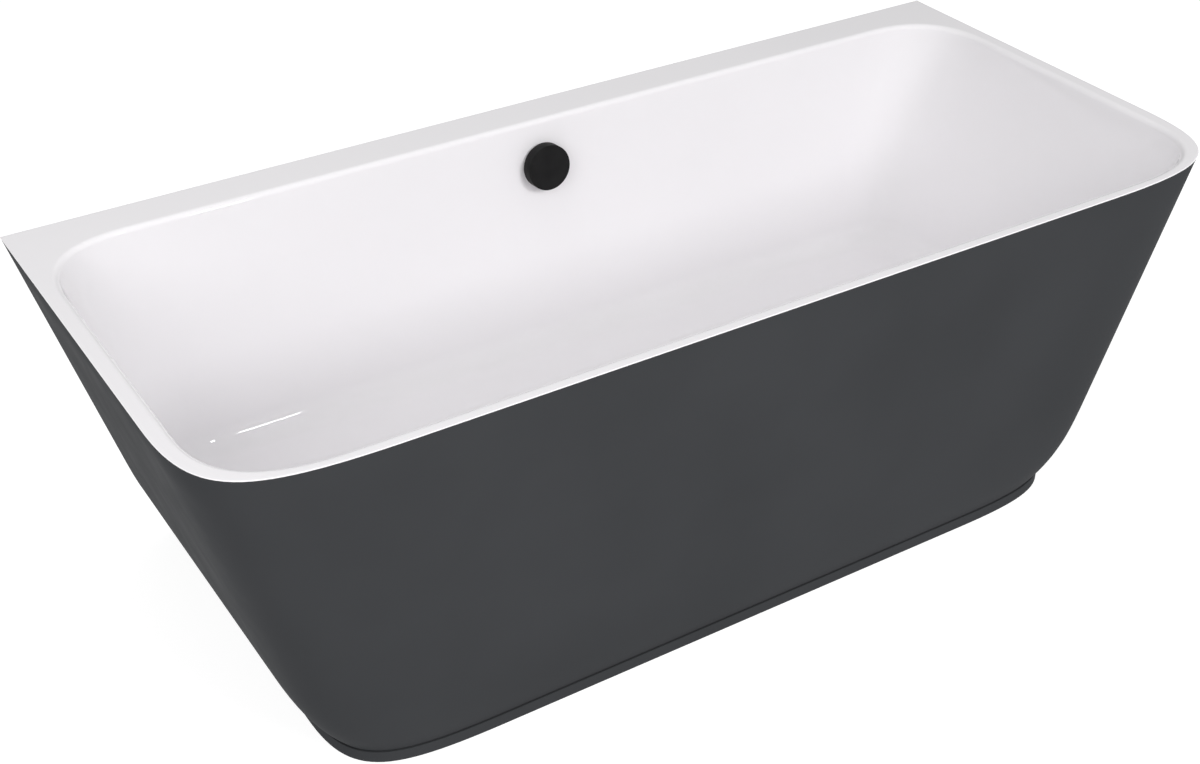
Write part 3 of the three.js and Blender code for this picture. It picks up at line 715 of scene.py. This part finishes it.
def overflow_collar():
    """Threaded collar that clamps the shell, with a three-spoke bearing."""
    profile = [(20, -14), (24, -14)] + thread(24.5, -13.5, -1, 0.5)
    profile += [(24.2, GAP), (33, GAP, 0.4), (33, 3.1, 0.9), (20, 3.1, 0.6)]
    collar = turned("collar", profile, OVERFLOW_FRAME, 64)
    for k in range(3):
        place = OVERFLOW_FRAME @ Matrix.Rotation(math.pi / 2 + k * math.pi * 2 / 3, 4, "Z")
        combine(collar, box("spoke", 0, 21.5, -2, 2, -13, -9, place), "UNION")
    combine(collar, post(8, -14, -6, OVERFLOW_FRAME, 40), "UNION")
    combine(collar, post(SPINDLE_R + GAP, -20, 10, OVERFLOW_FRAME, 32), "DIFFERENCE")
    stand_for(collar, "overflow_collar")


def seal(node, inner, outer, low, high, place):
    """Flat rubber ring with a sealing bead on each face."""
    bead = (inner + outer) / 2
    under, over = low + 0.3, high - 0.3
    profile = [(inner, under + 0.2), (inner + 0.5, under), (bead - 1, under), (bead, low), (bead + 1, under),
               (outer - 0.5, under), (outer, under + 0.5), (outer, over - 0.5), (outer - 0.5, over),
               (bead + 1, over), (bead, high), (bead - 1, over), (inner, over)]
    stand_for(turned("seal", profile, place, 64), node, 60)


def overflow_body():
    """Round box behind the wall with a stiffening bead and a spout pointing down the wall."""
    front = -SHELL_T - 3 - 2 * GAP
    spout_axis = OVERFLOW_FRAME @ at(0, 0, SPOUT_AXIS)
    can = [(0, -52), (38, -52, 1), (38, -49), (37, -48.4), (37, -14), (38, -13.4), (38, front, 1), (0, front)]
    body = turned("can", can, OVERFLOW_FRAME, 64)
    spout = [(0, -64), (HOSE_R + 3, -64, 0.8), (HOSE_R + 3, -59), (HOSE_R + 2.2, -58.5),
             (HOSE_R + 2.2, 0), (0, 0)]
    combine(body, turned("spout", spout, lying(spout_axis, "Y"), 48), "UNION")
    combine(body, post(34.5, -60, front - 4, OVERFLOW_FRAME), "DIFFERENCE")
    combine(body, post(24.5 + GAP, front - 10, 0, OVERFLOW_FRAME), "DIFFERENCE")
    combine(body, post(HOSE_R + GAP, -70, -10, lying(spout_axis, "Y"), 48), "DIFFERENCE")
    wire = lying(OVERFLOW_FRAME @ at(GLAND_X, 0, SPOUT_AXIS), "Y")
    combine(body, post(WIRE_HOLE_R, -60, -10, wire, 24), "DIFFERENCE")
    stand_for(body, "overflow_body")


def overflow_cover():
    profile = [(SPINDLE_R + GAP, -55.3), (12, -55.3, 0.3), (13, -54.6), (32, -54.6), (33, -55.3, 0.3),
               (38, -55.3, 0.8), (38, -52.3), (SPINDLE_R + GAP, -52.3)]
    stand_for(turned("cover", profile, OVERFLOW_FRAME, 64), "overflow_cover")


def gland(node, low, high, frame_at, towards, wall_radius, wall_low, wall_high, wall_frame):
    """Grooved brass sleeve that meets a round wall."""
    length = high - low
    profile = [(WIRE_HOLE_R, low), (5, low, 0.5)]
    for k in range(1, 4):
        z = low + length * k / 10
        profile += [(5, z - 0.4), (4.5, z), (5, z + 0.4)]
    profile += [(5, high, 0.5), (WIRE_HOLE_R, high)]
    sleeve = turned("sleeve", profile, lying(frame_at, towards), 40)
    combine(sleeve, post(wall_radius, wall_low, wall_high, wall_frame, 96), "DIFFERENCE")
    stand_for(sleeve, node)


def spaced(points, step):
    """The polyline through the points, sampled at even distances."""
    total = sum((b - a).length for a, b in zip(points, points[1:]))
    count = max(2, round(total / step))
    result = [points[0]]
    travelled = 0.0
    for a, b in zip(points, points[1:]):
        length = (b - a).length
        while len(result) < count and len(result) * total / count <= travelled + length:
            result.append(a.lerp(b, (len(result) * total / count - travelled) / length))
        travelled += length
    return result + [points[-1]]


def overflow_hose():
    """Corrugated hose from the overflow's spout to the waste body, with plain cuffs."""
    down = Vector((0, -math.sin(math.atan(WALL_LEAN)), -math.cos(math.atan(WALL_LEAN))))
    start = OVERFLOW_FRAME @ Vector((0, -50, SPOUT_AXIS))
    bend_top = start + down * 215
    inlet = SUMP_Z + INLET_Z
    bend_end = Vector((0, WASTE_Y + 200, inlet))
    handle = bend_end + Vector((0, 100, 0))
    path = [start, *bezier(bend_top, bend_top + down * 100, handle, bend_end, 80)]
    path = spaced(path + [Vector((0, WASTE_Y + 54, inlet))], 1.2)
    length = sum((b - a).length for a, b in zip(path, path[1:]))

    def radius_at(distance):
        if min(distance, length - distance) < 26:
            return HOSE_R
        return HOSE_R - 0.9 + 0.9 * math.cos((distance - 26) * 2 * math.pi / 5)

    stand_for(sweep("hose", path, radius_at, 40, HOSE_BORE), "overflow_hose", 60)


def centripetal(points, steps):
    """Smooth curve through the points, its knots spaced by the root of their distances."""
    ends = [points[0] * 2 - points[1], *points, points[-1] * 2 - points[-2]]
    curve = []
    for a, b, c, d in zip(ends, ends[1:], ends[2:], ends[3:]):
        before, here, after = [math.sqrt((q - p).length) for p, q in ((a, b), (b, c), (c, d))]
        leave = ((b - a) / before - (c - a) / (before + here) + (c - b) / here) * here
        arrive = ((c - b) / here - (d - b) / (here + after) + (d - c) / after) * here
        curve += bezier(b, b + leave / 3, c - arrive / 3, c, steps)[:-1]
    return curve + [points[-1]]


def cable_sheath():
    start = OVERFLOW_FRAME @ Vector((GLAND_X, -46 - GAP, SPOUT_AXIS))
    inlet = SUMP_Z + INLET_Z
    knots = [start, start + Vector((0, -2.1, -20)), Vector((44, 326, 360)), Vector((58, 312, 240)),
             Vector((84, 262, 168)), Vector((122, 150, inlet)), Vector((122, 50, inlet)),
             Vector((80, WASTE_Y, inlet)), Vector((50 + GAP, WASTE_Y, inlet))]
    path = spaced(centripetal(knots, 24), 3)
    stand_for(sweep("sheath", path, lambda distance: 3, 20), "cable_sheath", 60)


def overflow():
    overflow_knob()
    overflow_spindle()
    overflow_crank()
    overflow_collar()
    seal("overflow_seal", 25, 36, -SHELL_T - 3 - GAP, -SHELL_T - GAP, OVERFLOW_FRAME)
    overflow_body()
    overflow_cover()
    side = OVERFLOW_FRAME @ at(GLAND_X, 0, SPOUT_AXIS)
    gland("cable_gland_upper", -46, -20, side, "Y", 38 + GAP, -60, 0, OVERFLOW_FRAME)
    overflow_hose()
    cable_sheath()


# ------------------------------------------------------------------ waste
def waste_cover():
    """Plate level with the basin floor, its edges rounded, on four short legs."""
    x, y, radius = SUMP_X - COVER_GAP, SUMP_Y - COVER_GAP, SUMP_R - COVER_GAP
    low, high = SUMP_DEPTH - COVER_T, SUMP_DEPTH

    def ring(z, inset):
        return rounded_ring(x - inset, y - inset, radius - inset, z)

    levels = [ring(low, 0.6), ring(low + 0.6, 0)]
    for k in range(7):
        angle = k / 6 * math.pi / 2
        levels.append(ring(high - 1.2 * (1 - math.sin(angle)), 1.2 * (1 - math.cos(angle))))
    plate = make_object("plate", *loft(levels + [ring(high, 1.2 + SUPPORT)]))
    leg = [(0, GAP), (COVER_LEG_R, GAP, 0.8), (COVER_LEG_R, low + 1), (0, low + 1)]
    for leg_x in (-COVER_LEG_X, COVER_LEG_X):
        for leg_y in (-COVER_LEG_Y, COVER_LEG_Y):
            combine(plate, turned("leg", leg, WASTE_FRAME @ at(leg_x, leg_y), 32), "UNION")
    stand_for(plate, "waste_cover")


def waste_flange():
    """Dished ring with a threaded tail and a cross that guides the plug."""
    profile = [(23, -20)] + thread(26, -19.5, -1, 0.5)
    profile += [(25.7, GAP), (35, GAP, 0.2), (34.6, GAP + 1.4, 0.8)]
    profile += [(31, GAP + 2.5, 1.5), (23, GAP + 2.5, 0.8)]
    flange = turned("flange", profile, WASTE_FRAME, 96)
    for k in range(4):
        place = WASTE_FRAME @ Matrix.Rotation(k * math.pi / 2, 4, "Z")
        combine(flange, box("arm", 0, 24, -1.5, 1.5, -19, -14, place), "UNION")
    combine(flange, post(7, -20, -12, WASTE_FRAME, 40), "UNION")
    combine(flange, post(4 + GAP, -30, -5, WASTE_FRAME, 32), "DIFFERENCE")
    stand_for(flange, "waste_flange")


def waste_body():
    """Chamber under the sump: overflow inlet at the rear, dip tube below."""
    top = -SHELL_T - 3.9
    outside = [(0, -142), (20, -142, 0.8), (20, -76, 1.5), (33, -74, 3), (33, top - 6, 2),
               (44, top - 6, 1.2), (44, top, 0.8), (0, top)]
    body = turned("body", outside, WASTE_FRAME, 64)
    inlet = lying(WASTE_FRAME @ at(0, 0, INLET_Z), "Y")
    neck = [(0, 0), (HOSE_R + 2.2, 0), (HOSE_R + 2.2, 63), (HOSE_R + 3, 64), (HOSE_R + 3, 70, 0.8), (0, 70)]
    combine(body, turned("neck", neck, inlet, 48), "UNION")
    well = [(0, -150), (17.5, -150), (17.5, -70, 1), (29.4, -70, 1), (29.4, top + 5), (0, top + 5)]
    combine(body, turned("well", well, WASTE_FRAME, 64), "DIFFERENCE")
    combine(body, post(HOSE_R + GAP, 10, 80, inlet, 48), "DIFFERENCE")
    pivot = lying(WASTE_FRAME @ at(LEVER_ARM, 0, LEVER_Z), "Y")
    combine(body, post(2 + GAP, -40, 40, pivot, 24), "DIFFERENCE")
    wire = lying(WASTE_FRAME @ at(0, 0, INLET_Z), "X")
    combine(body, post(WIRE_HOLE_R, 20, 40, wire, 24), "DIFFERENCE")
    stand_for(body, "waste_body")


def waste_plug():
    """Domed plug with a seal groove and the stem that the rocker lifts."""
    seat = 2.5 + 2 * GAP
    foot_z = LEVER_Z + 3 + GAP
    profile = [(0, foot_z), (4, foot_z, 0.8), (4, -8, 1.5), (20, -7, 0.5), (20, -4.5), (18.6, -4),
               (18.6, -0.5), (20, 0), (20, seat), (29.5, seat, 0.4), (29.5, seat + 1.5)]
    for k in range(1, 13):
        angle = k / 12 * math.pi / 2
        profile.append((29.5 * math.cos(angle), seat + 1.5 + 5.5 * math.sin(angle)))
    stand_for(turned("plug", profile, WASTE_FRAME, 96), "waste_plug", 50)


def lift_lever():
    """Rocker: eye on the pin, arm under the plug's stem, wire arm down."""
    place = WASTE_FRAME @ at(LEVER_ARM, 0, LEVER_Z) @ Matrix.Rotation(math.pi / 2, 4, "X")
    outline = rounded([(-25, 3, 2.9), (4, 3), (2.5, -14.5, 2.4), (-2.5, -14.5, 2.4), (-3.5, -3),
                       (-25, -3, 2.9)], 8)
    lever = prism("lever", outline, -3, 3, place)
    combine(lever, post(5, -3, 3, place, 48), "UNION")
    combine(lever, post(2 + GAP, -4, 4, place, 32), "DIFFERENCE")
    soften(lever, 0.3)
    stand_for(lever, "lift_lever")


def lever_pin():
    place = lying(WASTE_FRAME @ at(LEVER_ARM, 0, LEVER_Z), "Y")
    profile = [(0, -22), (2, -22, 0.5), (2, -17), (1.6, -16.6), (1.6, -16), (2, -15.6), (2, 22, 0.5), (0, 22)]
    stand_for(turned("pin", profile, place, 32), "lever_pin")


def trap_cup():
    """Bottle trap's cup with its side outlet."""
    cup = turned("cup", [(0, -175), (40, -175, 5), (40, -82, 0.8), (0, -82)], WASTE_FRAME, 96)
    outlet = lying(WASTE_FRAME @ at(0, 0, OUTLET_Z), "Y")
    stub = [(0, 0), (22.2, 0), (22.2, 70), (23, 71), (23, 80, 0.8), (0, 80)]
    combine(cup, turned("stub", stub, outlet, 64), "UNION")
    inside = turned("inside", [(0, -172), (37, -172, 3), (37, -70), (0, -70)], WASTE_FRAME, 96)
    combine(cup, inside, "DIFFERENCE")
    combine(cup, post(20 + GAP, 10, 90, outlet), "DIFFERENCE")
    stand_for(cup, "trap_cup")


def trap_nut():
    low, high = -82 + GAP, -75 + GAP
    profile = [(20 + GAP, low), (40, low, 0.8), (40, high, 1.2), (20 + GAP, high)]
    nut = turned("nut", profile, WASTE_FRAME, 96)
    for k in range(6):
        place = WASTE_FRAME @ Matrix.Rotation(k * math.pi / 3, 4, "Z")
        lug = box("lug", 36, 43, -3, 3, low, high, place)
        soften(lug, 0.8)
        combine(nut, lug, "UNION")
    stand_for(nut, "trap_nut")


def outlet_pipe():
    end = HALF_Y - WASTE_Y
    profile = [(17, 50, 0.4), (20, 50, 0.8), (20, end, 0.4), (17, end, 0.4)]
    pipe = turned("pipe", profile, lying(WASTE_FRAME @ at(0, 0, OUTLET_Z), "Y"), 64)
    stand_for(pipe, "outlet_pipe")


def waste():
    waste_cover()
    waste_flange()
    seal("waste_seal", 28, 43, -SHELL_T - 3.6, -SHELL_T - GAP, WASTE_FRAME)
    waste_body()
    waste_plug()
    groove = [(18.9, -3.6, 0.4), (21.6, -3.6, 0.6), (22.4, -2.3), (21.6, -0.9, 0.6), (18.9, -0.9, 0.4)]
    stand_for(turned("seal", groove, WASTE_FRAME, 64), "waste_plug_seal", 60)
    lift_lever()
    lever_pin()
    inlet = WASTE_FRAME @ at(0, 0, INLET_Z)
    gland("cable_gland_lower", 25, 50, inlet, "X", 33 + GAP, -70, -20, WASTE_FRAME)
    trap_cup()
    trap_nut()
    outlet_pipe()


# ------------------------------------------------------------------ finishes
class Finish:
    """A Principled material with its noise-driven colour, roughness and relief."""

    def __init__(self, name, color, roughness, metallic=0.0, ior=1.46):
        self.material = bpy.data.materials.new(name)
        self.material.use_nodes = True
        self.nodes = self.material.node_tree.nodes
        self.links = self.material.node_tree.links
        self.shader = self.nodes["Principled BSDF"]
        self.color = color
        self.roughness = roughness
        self.set("Base Color", (*color, 1))
        self.set("Roughness", roughness)
        self.set("Metallic", metallic)
        self.set("IOR", ior)
        self.place = self.nodes.new("ShaderNodeTexCoord").outputs["Object"]

    def set(self, socket, value):
        self.shader.inputs[socket].default_value = value

    def stretched(self, scale):
        """Object coordinates scaled along each axis."""
        mapping = self.nodes.new("ShaderNodeMapping")
        mapping.inputs["Scale"].default_value = scale
        self.links.new(self.place, mapping.inputs["Vector"])
        return mapping.outputs["Vector"]

    def noise(self, scale, detail=3.0, roughness=0.5, place=None):
        node = self.nodes.new("ShaderNodeTexNoise")
        node.inputs["Scale"].default_value = scale
        node.inputs["Detail"].default_value = detail
        node.inputs["Roughness"].default_value = roughness
        self.links.new(place or self.place, node.inputs["Vector"])
        return node.outputs["Fac"]

    def ramp(self, value, stops):
        """Colour ramp from a 0 to 1 value; stops are (position, colour)."""
        node = self.nodes.new("ShaderNodeValToRGB")
        elements = node.color_ramp.elements
        while len(elements) < len(stops):
            elements.new(0.5)
        for element, (position, color) in zip(elements, stops):
            element.position = position
            element.color = (*color, 1)
        self.links.new(value, node.inputs["Fac"])
        return node.outputs["Color"]

    def remap(self, value, low, high, start=0.3, end=0.7):
        node = self.nodes.new("ShaderNodeMapRange")
        node.inputs["From Min"].default_value = start
        node.inputs["From Max"].default_value = end
        node.inputs["To Min"].default_value = low
        node.inputs["To Max"].default_value = high
        self.links.new(value, node.inputs["Value"])
        return node.outputs["Result"]

    def tint(self, scale, amount, detail=3.0):
        """Slow drift of the colour, from darker to lighter by amount."""
        dark = tuple(c * (1 - amount) for c in self.color)
        light = tuple(min(1.0, c * (1 + amount)) for c in self.color)
        color = self.ramp(self.noise(scale, detail), [(0.35, dark), (0.65, light)])
        self.links.new(color, self.shader.inputs["Base Color"])
        return self

    def smudge(self, scale, amount, detail=4.0):
        """Slow drift of the roughness."""
        low, high = self.roughness - amount, self.roughness + amount
        value = self.remap(self.noise(scale, detail), max(0.0, low), high)
        self.links.new(value, self.shader.inputs["Roughness"])
        return self

    def relief(self, *layers):
        """Bump from (height output, distance in metres) layers, one on another."""
        normal = None
        for height, distance in layers:
            node = self.nodes.new("ShaderNodeBump")
            node.inputs["Distance"].default_value = distance
            self.links.new(height, node.inputs["Height"])
            if normal:
                self.links.new(normal, node.inputs["Normal"])
            normal = node.outputs["Normal"]
        self.links.new(normal, self.shader.inputs["Normal"])
        return self


def white_acrylic():
    """Thermoformed sanitary acrylic: high gloss with a very slow waviness."""
    finish = Finish("white_acrylic", (0.868, 0.853, 0.871), 0.022, ior=1.49)
    finish.tint(2.2, 0.008).smudge(9, 0.008)
    finish.relief((finish.noise(3, 1), 0.0002), (finish.noise(260, 2), 0.0000015))
    return finish.material


def anthracite_skin():
    """Matt lacquer with a fine grain."""
    finish = Finish("anthracite_skin", (0.0430, 0.0447, 0.0477), 0.52, ior=1.45)
    finish.set("Specular IOR Level", 0.006)
    finish.tint(3.5, 0.05).smudge(14, 0.04)
    finish.relief((finish.noise(900, 2, 0.6), 0.00003), (finish.noise(4, 2), 0.0004))
    return finish.material


def black_knob():
    """Matt black coating with a sprayed grain."""
    finish = Finish("black_knob", (0.0142, 0.0142, 0.0144), 0.5)
    finish.set("Specular IOR Level", 0.08)
    finish.tint(40, 0.12).smudge(60, 0.05)
    finish.relief((finish.noise(2600, 2, 0.6), 0.00001))
    return finish.material


def board():
    """Raw chipboard: flakes of several tones pressed flat."""
    finish = Finish("board", (0.46, 0.31, 0.16), 0.82)
    flakes = finish.nodes.new("ShaderNodeTexVoronoi")
    flakes.inputs["Scale"].default_value = 1.0
    finish.links.new(finish.stretched((240, 420, 300)), flakes.inputs["Vector"])
    split = finish.nodes.new("ShaderNodeSeparateColor")
    finish.links.new(flakes.outputs["Color"], split.inputs["Color"])
    tones = [(0.0, (0.2, 0.115, 0.05)), (0.35, (0.42, 0.27, 0.13)), (0.7, (0.56, 0.4, 0.22)),
             (1.0, (0.68, 0.52, 0.33))]
    finish.links.new(finish.ramp(split.outputs["Red"], tones), finish.shader.inputs["Base Color"])
    finish.relief((flakes.outputs["Distance"], 0.0002), (finish.noise(900, 3), 0.0001))
    return finish.material


def zinc_steel():
    """Zinc plating: pale crystals with a faint blue and yellow passivation."""
    finish = Finish("zinc_steel", (0.6, 0.62, 0.64), 0.34, metallic=1.0)
    crystals = finish.nodes.new("ShaderNodeTexVoronoi")
    crystals.inputs["Scale"].default_value = 420
    finish.links.new(finish.place, crystals.inputs["Vector"])
    split = finish.nodes.new("ShaderNodeSeparateColor")
    finish.links.new(crystals.outputs["Color"], split.inputs["Color"])
    tones = [(0.0, (0.5, 0.53, 0.57)), (0.5, (0.62, 0.63, 0.64)), (1.0, (0.68, 0.66, 0.6))]
    finish.links.new(finish.ramp(split.outputs["Red"], tones), finish.shader.inputs["Base Color"])
    rough = finish.remap(split.outputs["Green"], 0.26, 0.46, 0, 1)
    finish.links.new(rough, finish.shader.inputs["Roughness"])
    finish.relief((finish.noise(500, 3), 0.00002))
    return finish.material


def chrome():
    finish = Finish("chrome", (0.82, 0.83, 0.845), 0.06, metallic=1.0)
    finish.tint(25, 0.02).smudge(35, 0.025)
    finish.relief((finish.noise(60, 2), 0.00001))
    return finish.material


def brass():
    """Machined brass: fine lathe lines and a little tarnish."""
    finish = Finish("brass", (0.68, 0.46, 0.15), 0.28, metallic=1.0)
    finish.tint(60, 0.15).smudge(90, 0.08)
    finish.relief((finish.noise(1.0, 2, place=finish.stretched((300, 4000, 4000))), 0.00002))
    return finish.material


def rubber():
    finish = Finish("rubber", (0.018, 0.018, 0.018), 0.78)
    finish.tint(50, 0.2).smudge(40, 0.06)
    finish.relief((finish.noise(1500, 3), 0.00003))
    return finish.material


def moulded(name, color, roughness):
    """Injection-moulded plastic: fine spark-eroded texture and slow flow marks."""
    finish = Finish(name, color, roughness)
    finish.tint(12, 0.03).smudge(25, 0.05)
    finish.relief((finish.noise(1800, 2, 0.6), 0.00002), (finish.noise(18, 2), 0.0002))
    return finish.material


def make_finishes():
    return {
        "white_acrylic": white_acrylic(),
        "anthracite_skin": anthracite_skin(),
        "black_knob": black_knob(),
        "board": board(),
        "zinc_steel": zinc_steel(),
        "chrome": chrome(),
        "brass": brass(),
        "rubber": rubber(),
        "pale_plastic": moulded("pale_plastic", (0.66, 0.67, 0.68), 0.42),
        "dark_plastic": moulded("dark_plastic", (0.03, 0.031, 0.033), 0.45),
    }


# ------------------------------------------------------------------ stage, light and camera
def add_floor():
    bpy.ops.mesh.primitive_plane_add(size=40, location=(0, 0, 0))
    floor = bpy.context.object
    floor.name = "studio_floor"
    finish = Finish("studio_floor", (0.35, 0.35, 0.35), 0.9)
    finish.tint(0.6, 0.004)
    finish.set("Specular IOR Level", 0.1)
    finish.set("Emission Color", (1, 1, 1, 1))
    finish.set("Emission Strength", 0.84)
    floor.data.materials.append(finish.material)


def add_world(horizon, zenith):
    """White surroundings, brighter overhead than at the horizon."""
    world = bpy.data.worlds.new("studio")
    bpy.context.scene.world = world
    world.use_nodes = True
    nodes, links = world.node_tree.nodes, world.node_tree.links
    back = nodes["Background"]
    back.inputs["Color"].default_value = (1, 1, 1, 1)
    direction = nodes.new("ShaderNodeTexCoord")
    height = nodes.new("ShaderNodeSeparateXYZ")
    strength = nodes.new("ShaderNodeMapRange")
    strength.inputs["To Min"].default_value = horizon
    strength.inputs["To Max"].default_value = zenith
    links.new(direction.outputs["Generated"], height.inputs["Vector"])
    links.new(height.outputs["Z"], strength.inputs["Value"])
    links.new(strength.outputs["Result"], back.inputs["Strength"])


def add_softbox(name, location, target, size, power, mirrored=True):
    """Area light; mirrored says whether glossy surfaces show it."""
    light = bpy.data.lights.new(name, "AREA")
    light.shape = "RECTANGLE"
    light.size, light.size_y = size
    light.energy = power
    obj = bpy.data.objects.new(name, light)
    bpy.context.scene.collection.objects.link(obj)
    obj.location = location
    aim = Vector(target) - Vector(location)
    obj.rotation_euler = aim.to_track_quat("-Z", "Y").to_euler()
    obj.visible_glossy = mirrored


def add_camera():
    camera = bpy.data.cameras.new("camera")
    camera.sensor_width = 36
    camera.lens = 54.247
    camera.shift_x = 0.0081
    obj = bpy.data.objects.new("camera", camera)
    bpy.context.scene.collection.objects.link(obj)
    obj.location = (-1.41662, -2.10301, 1.94825)
    obj.rotation_euler = (math.radians(90 - 33.353), 0, math.radians(-32.034))
    bpy.context.scene.camera = obj


# ------------------------------------------------------------------ the scene
FINISHES = make_finishes()
tub_shell()
apron()
plinth()
support()
overflow()
waste()

add_floor()
add_world(0.36, 0.5)
add_softbox("top", (-0.7, 0.3, 3.8), (0, 0, 0), (1.6, 1.6), 17, mirrored=False)
add_softbox("key", (1.7, -6.0, 3.8), (0, 0, 0.5), (2.8, 2.2), 204, mirrored=False)
add_softbox("fill", (-3.0, -2.0, 2.6), (0, 0, 0.5), (2.5, 2.5), 54, mirrored=False)
add_softbox("accent", (0.89, -3.9, 2.9), (0, 0, 0.4), (0.28, 0.3), 9)
add_camera()
bpy.context.scene.view_settings.view_transform = "Standard"
